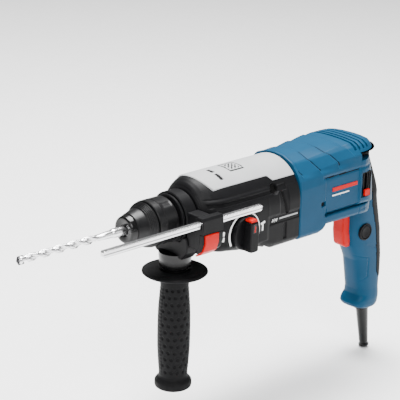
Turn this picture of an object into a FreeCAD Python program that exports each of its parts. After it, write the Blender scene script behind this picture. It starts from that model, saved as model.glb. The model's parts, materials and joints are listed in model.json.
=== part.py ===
import FreeCAD
import Part
import Sketcher
import math
import os

# Rotary hammer: a drill-and-chisel machine with a slotted tool holder, a wobble-drive hammer
# mechanism, a series motor, a vibration-damped rear handle and a clamped side handle.
# Millimetres. X is the spindle axis and the drill bit points to -X. +Z is up, -Y is the side of
# the mode knob. The origin is on the spindle axis in the mouth of the dust cap.

SIZES = {
    # tool holder, spindle and hammer mechanism
    "shank_radius": 4.95, "holder_bore": 5.0, "holder_radius": 12.0, "holder_front": 2.5,
    "holder_rear": 60.0, "bolt_chamber": 9.2, "bolt_chamber_front": 49.0, "tube_rear": 140.0,
    "tube_radius": 16.5, "tube_bore": 14.05, "tube_step": 80.0, "ball_radius": 3.4,
    "ball_place": 26.0, "ball_centre_radius": 8.3, "key_width": 2.4, "key_height": 1.1,
    "piston_radius": 14.0, "cup_bore": 12.65, "piston_front": 86.0, "piston_wall": 124.0,
    "ear_rear": 167.0, "trunnion_radius": 5.0, "striker_radius": 12.6, "finger_radius": 2.5,
    # drill bit
    "bit_tip": -130.0, "flute_radius": 4.0, "shank_front": -15.0, "shank_rear": 48.0,
    "bit_point": 3.2, "shank_groove_width": 5.4, "shank_groove_front": 16.0,
    "shank_groove_rear": 37.0, "shank_slot_front": 10.0,
    # dust cap and locking sleeve
    "cap_rear": 6.5, "cap_front_radius": 13.4, "cap_rear_radius": 15.2, "cap_lip": 5.6,
    "sleeve_front": 7.2, "sleeve_front_radius": 15.4, "sleeve_cone_end": 18.5,
    "sleeve_cone_radius": 18.5, "sleeve_flare_end": 26.0, "sleeve_flare_radius": 22.6,
    "sleeve_radius": 23.9, "sleeve_rear": 53.0, "sleeve_bore": 16.5, "sleeve_lip_bore": 12.4,
    # gear housing
    "neck_front": 57.0, "neck_ring_rear": 59.8, "neck_ring_radius": 24.8, "neck_radius": 21.8,
    "neck_bore": 18.6, "house_front": 78.0, "house_joint": 207.0, "half_width": 41.5,
    "arch_centre": -4.0, "gear_floor": -48.5, "wall": 3.0, "corner_radius": 5.0,
    "cover_front": 88.0,
    # motor housing
    "motor_front": 207.6, "motor_floor": -49.0, "lobe_rear": 249.0, "arm_ceiling": -30.5,
    "motor_rear": 334.0, "crown_front": 288.0, "crown_rear": 344.0, "crown_floor": 29.4, "motor_axis": -2.0,
    # gears, one module throughout
    "module_size": 1.0, "counter_axis": -25.0, "pinion_teeth": 8, "counter_teeth": 38,
    "drive_teeth": 12, "spindle_teeth": 38, "tooth_top": 0.8, "tooth_foot": 1.1,
    # motor
    "motor_shaft": 4.0, "core_radius": 17.5, "core_front": 228.0, "core_rear": 268.0,
    "stator_radius": 30.0, "air_gap": 0.6, "fan_radius": 26.5, "commutator_radius": 11.0,
    "commutator_front": 280.0, "commutator_rear": 296.0,
    # wobble drive
    "wobble_place": 160.0, "wobble_ball": 10.5, "wobble_ring": 14.5, "wobble_half": 5.0,
    # mode knob
    "knob_x": 125.5, "knob_z": -20.0, "knob_radius": 17.8, "knob_face": -46.5,
    "knob_grip_face": -57.0, "knob_grip_width": 11.0, "knob_seat": -42.0,
    # side handle and depth stop
    "clamp_x": 69.3, "band_bore": 22.1, "band_radius": 26.8, "band_front": 60.6,
    "band_rear": 75.4, "boss_radius": 15.5, "boss_floor": -57.0,
    "flange_radius": 34.0, "grip_floor": -188.0, "pommel_radius": 19.4, "rod_y": -47.3,
    "rod_z": 5.3, "rod_front": -67.0, "rod_rear": 143.0, "rod_width": 6.0, "rod_height": 6.8,
    # rear handle
    "grip_half": 17.5, "arm_half": 38.0, "pivot_x": 256.0,
    "pivot_z": -36.5, "trigger_half": 8.5, "trigger_front": 313.5, "lock_x": 341.0,
    "lock_z": -76.5, "lock_radius": 7.6, "boot_x": 369.6, "boot_z": -227.6, "boot_tilt": 8.0,
    "boot_bore": 4.1, "boot_length": 60.0,
}

doc = FreeCAD.newDocument("RotaryHammer")
sheet = doc.addObject("Spreadsheet::Sheet", "Sizes")
for row, (alias, amount) in enumerate(SIZES.items(), start=1):
    sheet.set(f"A{row}", alias)
    sheet.set(f"B{row}", str(amount))
    sheet.setAlias(f"B{row}", alias)
doc.recompute()


class Measure:
    """A value together with the spreadsheet formula that drives it."""

    def __init__(self, value, formula):
        self.value = float(value)
        self.formula = formula

    def __add__(self, other):
        other = measure(other)
        return Measure(self.value + other.value, f"({self.formula} + {other.formula})")

    def __sub__(self, other):
        other = measure(other)
        return Measure(self.value - other.value, f"({self.formula} - {other.formula})")

    def __mul__(self, other):
        other = measure(other)
        return Measure(self.value * other.value, f"({self.formula} * {other.formula})")

    def __neg__(self):
        return Measure(-self.value, f"(0 - {self.formula})")

    __radd__ = __add__
    __rmul__ = __mul__


def measure(amount):
    """Any amount as a Measure, so that numbers and sheet sizes mix freely."""
    if isinstance(amount, Measure):
        return amount
    return Measure(amount, f"({float(amount)})")


def size(alias):
    """A driving dimension of the sheet, by its alias."""
    return Measure(SIZES[alias], f"Sizes.{alias}")


def bind(item, prop, amount):
    """Drive one property of an object from the sheet."""
    item.setExpression(prop, measure(amount).formula)


def place(item, x=0.0, y=0.0, z=0.0, axis=(0, 0, 1), angle=0.0):
    """Turn an object about an axis, and drive its position from the sheet."""
    spot = [measure(x), measure(y), measure(z)]
    turn = FreeCAD.Rotation(FreeCAD.Vector(*axis), angle)
    item.Placement = FreeCAD.Placement(FreeCAD.Vector(*[part.value for part in spot]), turn)
    for name, part in zip("xyz", spot):
        bind(item, f"Placement.Base.{name}", part)
    return item


# ---------------------------------------------------------------- PartDesign helpers

def new_body(label):
    body = doc.addObject("PartDesign::Body", f"Body_{label}")
    body.Label = label
    return body


def plane(body, role):
    return next(part for part in body.Origin.OriginFeatures if part.Role == role)


def outline(body, role, points, offset=None):
    """A closed sketch of straight lines whose corners are all driven from the sheet."""
    sketch = body.newObject("Sketcher::SketchObject", f"Sketch_{body.Label}")
    sketch.AttachmentSupport = [(plane(body, role), "")]
    sketch.MapMode = "FlatFace"
    if offset is not None:
        bind(sketch, "AttachmentOffset.Base.z", offset)
    corners = [(measure(across), measure(up)) for across, up in points]
    ends = [FreeCAD.Vector(across.value, up.value, 0) for across, up in corners]
    count = len(ends)
    for index in range(count):
        sketch.addGeometry(Part.LineSegment(ends[index], ends[(index + 1) % count]), False)
    for index in range(count):
        sketch.addConstraint(Sketcher.Constraint("Coincident", index, 2, (index + 1) % count, 1))
    for index, corner in enumerate(corners):
        for kind, amount in zip(("DistanceX", "DistanceY"), corner):
            rule = Sketcher.Constraint(kind, -1, 1, index, 1, amount.value)
            number = sketch.addConstraint(rule)
            sketch.setExpression(f"Constraints[{number}]", amount.formula)
    return sketch


def arch(body, offset, half_width, floor):
    """The housings' cross-section: a half round on straight sides with a flat floor."""
    sketch = body.newObject("Sketcher::SketchObject", f"Arch_{body.Label}")
    sketch.AttachmentSupport = [(plane(body, "YZ_Plane"), "")]
    sketch.MapMode = "FlatFace"
    bind(sketch, "AttachmentOffset.Base.z", offset)
    half_width, floor, centre = measure(half_width), measure(floor), size("arch_centre")
    middle = FreeCAD.Vector(0, centre.value, 0)
    circle = Part.Circle(middle, FreeCAD.Vector(0, 0, 1), half_width.value)
    left_top = FreeCAD.Vector(-half_width.value, centre.value, 0)
    right_top = FreeCAD.Vector(half_width.value, centre.value, 0)
    left_foot = FreeCAD.Vector(-half_width.value, floor.value, 0)
    right_foot = FreeCAD.Vector(half_width.value, floor.value, 0)
    sketch.addGeometry(Part.ArcOfCircle(circle, 0, math.pi), False)
    sketch.addGeometry(Part.LineSegment(left_top, left_foot), False)
    sketch.addGeometry(Part.LineSegment(left_foot, right_foot), False)
    sketch.addGeometry(Part.LineSegment(right_foot, right_top), False)
    rules = [
        Sketcher.Constraint("Coincident", 0, 2, 1, 1),
        Sketcher.Constraint("Coincident", 1, 2, 2, 1),
        Sketcher.Constraint("Coincident", 2, 2, 3, 1),
        Sketcher.Constraint("Coincident", 3, 2, 0, 1),
        Sketcher.Constraint("Vertical", 1),
        Sketcher.Constraint("Vertical", 3),
        Sketcher.Constraint("Horizontal", 2),
        Sketcher.Constraint("PointOnObject", 0, 3, -2),
        Sketcher.Constraint("Horizontal", 0, 1, 0, 2),
        Sketcher.Constraint("Horizontal", 0, 1, 0, 3),
    ]
    for rule in rules:
        sketch.addConstraint(rule)
    driven = [
        (Sketcher.Constraint("DistanceY", -1, 1, 0, 3, centre.value), centre),
        (Sketcher.Constraint("Radius", 0, half_width.value), half_width),
        (Sketcher.Constraint("DistanceY", -1, 1, 2, 1, floor.value), floor),
    ]
    for rule, amount in driven:
        number = sketch.addConstraint(rule)
        sketch.setExpression(f"Constraints[{number}]", amount.formula)
    return sketch


def feature(body, kind, sketch, length=None, both=False, back=False):
    """A Pad or Pocket of a sketch, checked to have changed the solid."""
    before = body.Shape.Volume if body.Tip else 0.0
    item = body.newObject(f"PartDesign::{kind}", f"{kind}_{body.Label}")
    item.Profile = sketch
    if both:
        item.Midplane = True
    item.Reversed = back
    bind(item, "Length", length)
    doc.recompute()
    if abs(body.Shape.Volume - before) < 0.001:
        raise ValueError(f"{body.Label}: the {kind} changed nothing")
    return item


def turned(label, points, about="H_Axis", kind="Revolution", body=None):
    """A piece turned on its own X axis (H_Axis) or Z axis (V_Axis) from a half profile."""
    body = body or new_body(label)
    sketch = outline(body, "XZ_Plane", points)
    item = body.newObject(f"PartDesign::{kind}", f"{kind}_{label}")
    item.Profile = sketch
    item.ReferenceAxis = (sketch, [about])
    item.Angle = 360.0
    doc.recompute()
    return body


def padded(label, role, points, length, offset=None, both=False, back=False):
    """A piece padded from one outline."""
    body = new_body(label)
    feature(body, "Pad", outline(body, role, points, offset), length, both, back)
    return body


def rounded(body, radius, wanted):
    """Fillets on the edges for which wanted(edge) is true."""
    names = [f"Edge{number}" for number, edge in enumerate(body.Shape.Edges, 1) if wanted(edge)]
    base = body.Tip
    item = body.newObject("PartDesign::Fillet", f"Fillet_{body.Label}")
    item.Base = (base, names)
    bind(item, "Radius", radius)
    doc.recompute()
    return body


def along(direction):
    """A test for straight edges that run along one axis."""
    aim = FreeCAD.Vector(*direction)

    def wanted(edge):
        if edge.Curve.TypeId != "Part::GeomLine":
            return False
        return abs(edge.tangentAt(edge.FirstParameter).dot(aim)) > 0.999

    return wanted


# ---------------------------------------------------------------- Part helpers

def block(label, low, high):
    """A box between two corners, both driven from the sheet."""
    item = doc.addObject("Part::Box", f"Box_{label}")
    item.Label = label
    low = [measure(part) for part in low]
    high = [measure(part) for part in high]
    for prop, start, end in zip(("Length", "Width", "Height"), low, high):
        bind(item, prop, end - start)
    return place(item, *low)


TO_X = ((0, 1, 0), 90.0)
TO_Y = ((1, 0, 0), -90.0)
TO_Z = ((0, 0, 1), 0.0)


def rod(label, radius, length, spot, aim=TO_Z):
    """A cylinder from a spot along +X, +Y or +Z."""
    item = doc.addObject("Part::Cylinder", f"Cylinder_{label}")
    item.Label = label
    bind(item, "Radius", radius)
    bind(item, "Height", length)
    return place(item, *spot, axis=aim[0], angle=aim[1])


def cut(label, base, *tools):
    """The base less every tool, one after another."""
    for number, tool in enumerate(tools, 1):
        item = doc.addObject("Part::Cut", f"Cut_{label}")
        item.Base = base
        item.Tool = tool
        item.Label = label if number == len(tools) else f"{label}_stage_{number}"
        base = item
    doc.recompute()
    return base


def joined(label, *pieces):
    """Overlapping pieces as one solid."""
    item = doc.addObject("Part::MultiFuse", f"Fuse_{label}")
    item.Label = label
    item.Shapes = list(pieces)
    doc.recompute()
    return item


def group(label, *pieces):
    """Several identical loose solids that share one node."""
    item = doc.addObject("Part::Compound", f"Group_{label}")
    item.Label = label
    item.Links = list(pieces)
    doc.recompute()
    return item


def spring(label, wire, radius, length, turns, spot, aim=TO_Z):
    """A round-wire helical spring."""
    pitch = (length - 2 * wire) / turns
    path = Part.makeHelix(pitch, length - 2 * wire, radius)
    start = FreeCAD.Vector(radius, 0, 0)
    ring = Part.Wire(Part.makeCircle(wire, start, FreeCAD.Vector(0, 2 * math.pi * radius, pitch)))
    item = doc.addObject("Part::Feature", f"Spring_{label}")
    item.Label = label
    item.Shape = Part.Wire(path.Edges).makePipeShell([ring], True, True)
    lift = FreeCAD.Rotation(FreeCAD.Vector(*aim[0]), aim[1])
    start = FreeCAD.Vector(*[measure(part).value for part in spot])
    item.Placement = FreeCAD.Placement(start + lift.multVec(FreeCAD.Vector(0, 0, wire)), lift)
    return item


nodes = []


def node(item):
    """Mark an object as a finished sub-part."""
    nodes.append(item)
    return item


# ---------------------------------------------------------------- tool holder and bit

def drill_bit():
    """Fluted bit with a slotted shank: ball grooves on +-Y, open drive slots on +-Z."""
    shank, flute = size("shank_radius"), size("flute_radius")
    tip, front, rear = size("bit_tip"), size("shank_front"), size("shank_rear")
    bit = turned("bit_blank", [
        (tip, 0.0), (tip + size("bit_point"), flute), (front - 3.0, flute),
        (front, shank), (rear - 0.8, shank), (rear, shank - 0.8), (rear, 0.0)])
    half = size("shank_groove_width") * 0.5
    tools = []
    for side in (-1, 1):
        low, high = sorted((side * 4.2, side * 6.0))
        tools.append(block(f"ball_groove_{side}", (size("shank_groove_front"), low, -half),
                           (size("shank_groove_rear"), high, half)))
        low, high = sorted((side * 3.5, side * 6.0))
        tools.append(block(f"drive_slot_{side}", (size("shank_slot_front"), -1.6, low),
                           (rear + 1.0, 1.6, high)))
    node(cut("drill_bit", bit, *tools))


def tool_holder():
    """Holder with drive keys, ball windows and the impact bolt's chamber behind the bore."""
    bore, radius = size("holder_bore"), size("holder_radius")
    rear, step = size("holder_rear"), size("bolt_chamber_front")
    shell = turned("holder_shell", [
        (size("holder_front"), bore), (size("holder_front"), radius), (50.0, radius),
        (50.0, radius + 4.2), (52.0, radius + 4.2), (52.0, radius), (rear, radius),
        (rear, size("bolt_chamber")), (step, size("bolt_chamber")), (step, bore)])
    windows = rod("ball_windows", size("ball_radius") + 0.15, 2.0 * radius + 2.0,
                  (size("ball_place"), -radius - 1.0, 0.0), TO_Y)
    holder = cut("holder_open", shell, windows)
    keys = []
    half = size("key_width") * 0.5
    for side in (-1, 1):
        low, high = sorted((side * (5.0 - SIZES["key_height"]), side * 6.0))
        keys.append(block(f"drive_key_{side}", (14.0, -half, low), (step - 4.0, half, high)))
    node(joined("tool_holder", holder, *keys))
    balls = []
    for side in (-1, 1):
        ball = doc.addObject("Part::Sphere", "Ball")
        bind(ball, "Radius", size("ball_radius"))
        balls.append(place(ball, size("ball_place"), side * size("ball_centre_radius")))
    node(group("locking_balls", *balls))


def dust_cap():
    """Soft cap with a dished mouth that keeps dust out of the tool holder."""
    front, rear, lip = size("cap_front_radius"), size("cap_rear_radius"), size("cap_lip")
    cap_rear, seat = size("cap_rear"), size("holder_radius") + 0.05
    node(turned("dust_cap", [
        (1.6, lip), (0.0, lip + 3.6), (0.0, front - 1.6), (0.5, front - 0.4), (1.6, front + 0.3),
        (cap_rear, rear), (cap_rear, seat), (size("holder_front"), seat),
        (size("holder_front"), lip)]))


def locking_sleeve():
    """Flared sleeve that is pulled back to free the bit, with its catch ring and spring."""
    front, rear = size("sleeve_front"), size("sleeve_rear")
    bore, lip = size("sleeve_bore"), size("sleeve_lip_bore")
    flare_end, radius = size("sleeve_flare_end"), size("sleeve_radius")
    node(turned("lock_sleeve", [
        (front, lip), (front, size("sleeve_front_radius")),
        (size("sleeve_cone_end"), size("sleeve_cone_radius")),
        (flare_end, size("sleeve_flare_radius")), (flare_end + 0.6, radius - 1.6),
        (flare_end + 1.8, radius - 1.6), (flare_end + 2.6, radius), (rear - 0.8, radius),
        (rear, radius - 0.8), (rear, bore), (flare_end - 4.5, bore), (front + 4.8, lip + 1.8),
        (front + 2.6, lip + 1.6), (front + 2.6, lip)]))
    node(turned("catch_ring", [
        (22.0, size("holder_radius") + 0.35), (22.0, bore - 0.05), (30.0, bore - 0.05),
        (30.0, size("holder_radius") + 0.35)]))
    node(spring("sleeve_spring", 0.7, 15.2, 19.4, 5, (30.3, 0.0, 0.0), TO_X))


def hammer_parts():
    """Hammer tube with the piston, striker and impact bolt that travel along the axis."""
    tube, bore, step = size("tube_radius"), size("tube_bore"), size("tube_step")
    front, rear, chamber = size("holder_rear"), size("tube_rear"), size("bolt_chamber")
    node(turned("hammer_tube", [
        (front, chamber), (front, size("holder_radius")), (front + 3.0, tube), (rear, tube),
        (rear, bore), (step, bore), (step, chamber)]))
    node(turned("impact_bolt", [
        (50.5, 0.0), (50.5, 4.4), (56.5, 4.4), (57.5, chamber - 0.06), (70.0, chamber - 0.06),
        (71.0, 6.0), (80.0, 6.0), (80.0, 0.0)]))
    striker = size("striker_radius")
    node(turned("striker", [
        (84.0, 0.0), (84.0, 8.0), (88.0, 8.0), (89.0, striker), (94.0, striker),
        (94.0, striker - 1.6), (96.5, striker - 1.6), (96.5, striker), (108.0, striker),
        (108.0, 0.0)]))
    outer, cup, wall = size("piston_radius"), size("cup_bore"), size("piston_wall")
    crown = turned("piston_cup", [
        (size("piston_front"), cup), (size("piston_front"), outer), (wall + 7.0, outer),
        (wall + 7.0, 0.0), (wall, 0.0), (wall, cup)])
    place_x, pin = size("wobble_place"), size("trunnion_radius")
    ears = []
    for side in (-1, 1):
        low, high = sorted((side * 6.5, side * 9.8))
        ears.append(block(f"ear_{side}", (wall + 5.0, low, -8.5), (size("ear_rear"), high, 8.5)))
    solid = joined("piston_solid", crown, *ears)
    hole = rod("trunnion_hole", pin + 0.06, 24.0, (place_x, -12.0, 0.0), TO_Y)
    node(cut("piston", solid, hole))
    pin_rod = rod("trunnion_pin", pin, 19.0, (place_x, -9.5, 0.0), TO_Y)
    finger_hole = rod("finger_hole", size("finger_radius") + 0.25, 14.0, (place_x, 0.0, -7.0))
    node(cut("trunnion", pin_rod, finger_hole))


# ---------------------------------------------------------------- gears

def gear(label, teeth, front, width, bore, turn=0.0):
    """A spur gear on its own X axis with straight-sided teeth; a tooth points up at turn 0."""
    module, count = size("module_size"), size(teeth)
    pitch = module * count * 0.5
    foot = pitch - size("tooth_foot") * module
    tip = pitch + size("tooth_top") * module
    body = turned(label, [(front, bore), (front, foot), (front + width, foot),
                          (front + width, bore)])
    sketch = outline(body, "YZ_Plane", [
        (-0.72 * module, foot - 0.4), (-0.72 * module, foot), (-0.26 * module, tip),
        (0.26 * module, tip), (0.72 * module, foot), (0.72 * module, foot - 0.4)], front)
    tooth = feature(body, "Pad", sketch, width)
    pattern = body.newObject("PartDesign::PolarPattern", f"Pattern_{label}")
    pattern.Originals = [tooth]
    pattern.Axis = (plane(body, "X_Axis"), [""])
    pattern.Angle = 360.0
    bind(pattern, "Occurrences", count)
    body.Tip = pattern
    doc.recompute()
    return place(body, axis=(1, 0, 0), angle=turn)


def gear_train():
    """Spindle gear, counter shaft with its gear and pinion, clutch sleeve and bushes."""
    shaft_z = size("counter_axis")
    node(gear("spindle_gear", "spindle_teeth", 128.5, 9.0, size("tube_radius") + 0.02,
              180.0 / SIZES["spindle_teeth"]))
    wobble = size("wobble_place")
    core = turned("counter_bar", [
        (108.5, 0.0), (108.5, 3.0), (118.5, 3.0), (119.5, 4.0), (190.5, 4.0),
        (190.5, 3.0), (203.5, 3.0), (203.5, 0.0)])
    place(core, z=shaft_z)
    drive = place(gear("drive_teeth_ring", "drive_teeth", 124.0, 13.5, 2.0), z=shaft_z)
    node(joined("counter_shaft", core, drive))
    wheel = gear("counter_gear", "counter_teeth", 178.0, 8.0, 4.02)
    node(place(wheel, z=shaft_z))
    hub_face = math.sqrt(SIZES["wobble_ball"] ** 2 - 7.5 ** 2)
    ball = doc.addObject("Part::Sphere", "Wobble_ball")
    bind(ball, "Radius", size("wobble_ball"))
    place(ball, wobble, 0.0, shaft_z)
    span = block("hub_span", (wobble - 7.5, -20.0, shaft_z - 20.0),
                 (wobble + 7.5, 20.0, shaft_z + 20.0))
    hub = doc.addObject("Part::Common", "Wobble_hub")
    hub.Base = ball
    hub.Tool = span
    collar = rod("hub_collar", hub_face - 0.5, 20.0, (wobble - 7.8, 0.0, shaft_z), TO_X)
    bore = rod("hub_bore", 4.02, 40.0, (wobble - 20.0, 0.0, shaft_z), TO_X)
    node(cut("wobble_hub", joined("hub_solid", hub, collar), bore))
    clutch = turned("clutch_sleeve", [
        (142.0, 4.1), (142.0, 8.5), (144.0, 8.5), (144.0, 6.8), (146.0, 6.8), (146.0, 8.5),
        (148.0, 8.5), (148.0, 4.1)])
    node(place(clutch, z=shaft_z))


def wobble_ring():
    """Ring that rocks on the round hub, with the finger that drives the piston."""
    wobble, shaft_z, half = size("wobble_place"), size("counter_axis"), size("wobble_half")
    disc = rod("ring_disc", size("wobble_ring"), 2.0 * half, (wobble - half, 0.0, shaft_z), TO_X)
    finger = rod("ring_finger", size("finger_radius"), 21.0, (wobble, 0.0, shaft_z + 12.0))
    seat = doc.addObject("Part::Sphere", "Ring_seat")
    bind(seat, "Radius", size("wobble_ball") + 0.3)
    place(seat, wobble, 0.0, shaft_z)
    node(cut("wobble_ring", joined("ring_solid", disc, finger), seat))


# ---------------------------------------------------------------- motor

def armature():
    """Motor shaft with its pinion, laminated core, windings, fan and commutator."""
    axis_z, shaft = size("motor_axis"), size("motor_shaft")
    front, rear = size("core_front"), size("core_rear")
    bar = turned("armature_bar", [
        (173.0, 0.0), (173.0, 1.9), (190.0, 1.9), (191.0, shaft), (312.0, shaft), (312.0, 0.0)])
    place(bar, z=axis_z)
    half_pitch = 180.0 / SIZES["pinion_teeth"]
    pinion = gear("pinion_teeth_ring", "pinion_teeth", 176.0, 12.0, 1.0)
    place(pinion, z=axis_z, axis=(1, 0, 0), angle=half_pitch)
    node(joined("armature_shaft", bar, pinion))
    core = size("core_radius")
    node(place(turned("armature_core", [
        (front, shaft + 0.02), (front, core), (rear, core), (rear, shaft + 0.02)]), z=axis_z))
    winding = turned("winding_profile", [
        (front - 8.0, 7.0), (front - 7.0, core - 3.0), (front - 0.1, core - 2.0),
        (front - 0.1, 7.0)])
    place(winding, z=axis_z)
    second = turned("rear_winding_profile", [
        (rear + 0.1, 7.0), (rear + 0.1, core - 2.0), (rear + 8.0, core - 3.0),
        (rear + 9.0, 7.0)])
    place(second, z=axis_z)
    node(group("armature_windings", winding, second))
    hub = turned("fan_hub", [
        (208.4, shaft + 0.02), (208.4, 9.0), (210.0, 10.0), (210.0, size("fan_radius")),
        (211.6, size("fan_radius")), (211.6, 10.0), (218.0, 9.0), (218.0, shaft + 0.02)])
    sketch = outline(hub, "YZ_Plane", [
        (-0.7, 9.4), (-0.7, size("fan_radius") - 0.5), (0.7, size("fan_radius") - 0.5),
        (0.7, 9.4)], measure(211.0))
    blade = feature(hub, "Pad", sketch, 7.0)
    pattern = hub.newObject("PartDesign::PolarPattern", "Fan_blades")
    pattern.Originals = [blade]
    pattern.Axis = (plane(hub, "X_Axis"), [""])
    pattern.Angle = 360.0
    pattern.Occurrences = 12
    hub.Tip = pattern
    hub.Label = "fan"
    node(place(hub, z=axis_z))
    node(place(turned("commutator", [
        (size("commutator_front"), shaft + 0.02),
        (size("commutator_front"), size("commutator_radius") + 2.0),
        (size("commutator_front") + 2.0, size("commutator_radius") + 2.0),
        (size("commutator_front") + 2.0, size("commutator_radius")),
        (size("commutator_rear"), size("commutator_radius")),
        (size("commutator_rear"), shaft + 0.02)]), z=axis_z))


def stator():
    """Laminated field ring, flat above and below, and its two end windings."""
    axis_z, gap = size("motor_axis"), size("core_radius") + size("air_gap")
    ring = turned("stator_ring", [
        (size("core_front"), gap), (size("core_front"), size("stator_radius")),
        (size("core_rear"), size("stator_radius")), (size("core_rear"), gap)])
    place(ring, z=axis_z)
    flats = []
    for low in (-45.0, 25.0):
        flats.append(block(f"stator_flat_{low:.0f}", (size("core_front") - 1.0, -40.0, axis_z + low),
                           (size("core_rear") + 1.0, 40.0, axis_z + low + 20.0)))
    node(cut("stator", ring, *flats))
    coils = []
    for number, face in enumerate((size("core_front") - 7.0, size("core_rear") + 0.1)):
        coil = turned(f"field_coil_{number}", [
            (face, gap + 1.5), (face, size("stator_radius") - 5.2),
            (face + 6.9, size("stator_radius") - 5.2), (face + 6.9, gap + 1.5)])
        coils.append(place(coil, z=axis_z))
    node(group("field_windings", *coils))


def brush_gear():
    """Turning plate with two brush boxes, their carbon brushes and the direction lever."""
    axis_z = size("motor_axis")
    face = size("commutator_rear") + 1.6
    plate = turned("plate_disc", [(face, 15.0), (face, 24.5), (face + 2.4, 24.5),
                                  (face + 2.4, 15.0)])
    place(plate, z=axis_z)
    boxes, brushes = [], []
    for side in (-1, 1):
        low, high = sorted((side * 13.5, side * 30.0))
        outer = block(f"brush_box_{side}", (284.0, low, axis_z - 5.5),
                      (face + 1.0, high, axis_z + 5.5))
        low, high = sorted((side * 13.0, side * 28.0))
        slot = block(f"brush_slot_{side}", (285.4, low, axis_z - 3.7),
                     (293.4, high, axis_z + 3.7))
        boxes.append(cut(f"brush_housing_{side}", outer, slot))
        low, high = sorted((side * 11.35, side * 25.0))
        brushes.append(block(f"brush_{side}", (285.7, low, axis_z - 3.4),
                             (293.1, high, axis_z + 3.4)))
    arm_low, arm_high = axis_z - 16.5, axis_z - 12.5
    spoke = block("lever_spoke", (face + 2.5, -33.4, arm_low), (face + 5.0, -14.5, arm_high))
    arm = block("lever_arm", (face + 2.5, -33.4, arm_low), (312.0, -30.6, arm_high))
    stem = block("lever_stem", (308.5, -41.5, arm_low), (312.0, -30.6, arm_high))
    tab = block("lever_tab", (306.5, -43.6, arm_low - 1.4), (314.0, -41.2, arm_high + 1.4))
    node(joined("direction_lever", spoke, arm, stem, tab))
    node(joined("brush_plate", plate, *boxes))
    node(group("carbon_brushes", *brushes))


def bearing_ring(label, front, width, bore, radius, spot_z):
    """A rolling bearing, drawn as its closed ring."""
    front = measure(front)
    node(place(turned(label, [(front, bore), (front, radius), (front + width, radius),
                              (front + width, bore)]), z=spot_z))


def bearings():
    tube, counter, motor = size("tube_radius"), size("counter_axis"), size("motor_axis")
    bearing_ring("spindle_front_bearing", 62.0, 16.0, tube + 0.05, 18.55, 0.0)
    bearing_ring("spindle_rear_bearing", 109.0, 8.0, tube + 0.05, 18.55, 0.0)
    bearing_ring("counter_front_bush", 109.0, 8.0, 3.05, 5.0, counter)
    bearing_ring("counter_rear_bearing", 196.2, 7.0, 3.05, 8.0, counter)
    bearing_ring("motor_front_bearing", 196.2, 9.0, size("motor_shaft") + 0.05, 9.0, motor)
    bearing_ring("motor_rear_bearing", 302.5, 7.0, size("motor_shaft") + 0.05, 9.5, motor)


# ---------------------------------------------------------------- housings

def inner_plate(label, front, width, floor, openings):
    """A bulkhead that fills the housing's section, with round openings along X."""
    body = new_body(f"{label}_blank")
    half = size("half_width") - size("wall") - 0.3
    feature(body, "Pad", arch(body, front, half, floor), width)
    tools = []
    for number, (radius, across, up) in enumerate(openings):
        tools.append(rod(f"{label}_opening_{number}", radius, measure(width) + 4.0,
                         (measure(front) - 2.0, across, up), TO_X))
    node(cut(label, body, *tools))


SCREW_SPOTS = [(-29.0, 13.0), (29.0, 13.0), (-33.0, -40.0), (33.0, -40.0)]


def bulkheads():
    """Gear frame behind the neck, and the bearing bridge between the two housings."""
    inner_plate("gear_frame", 108.6, 8.6, -34.0,
                [(18.6, 0.0, 0.0), (5.05, 0.0, size("counter_axis"))])
    holes = [(9.05, 0.0, size("motor_axis")), (8.05, 0.0, size("counter_axis"))]
    holes += [(2.3, across, up) for across, up in SCREW_SPOTS]
    inner_plate("bearing_bridge", 196.0, 10.6, -45.2, holes)
    screws = []
    for number, (across, up) in enumerate(SCREW_SPOTS):
        head = rod(f"head_{number}", 3.9, 3.8, (192.1, across, up), TO_X)
        shank = rod(f"shank_{number}", 2.1, 28.0, (195.0, across, up), TO_X)
        screws.append(joined(f"screw_{number}", head, shank))
    node(group("housing_screws", *screws))


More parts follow.
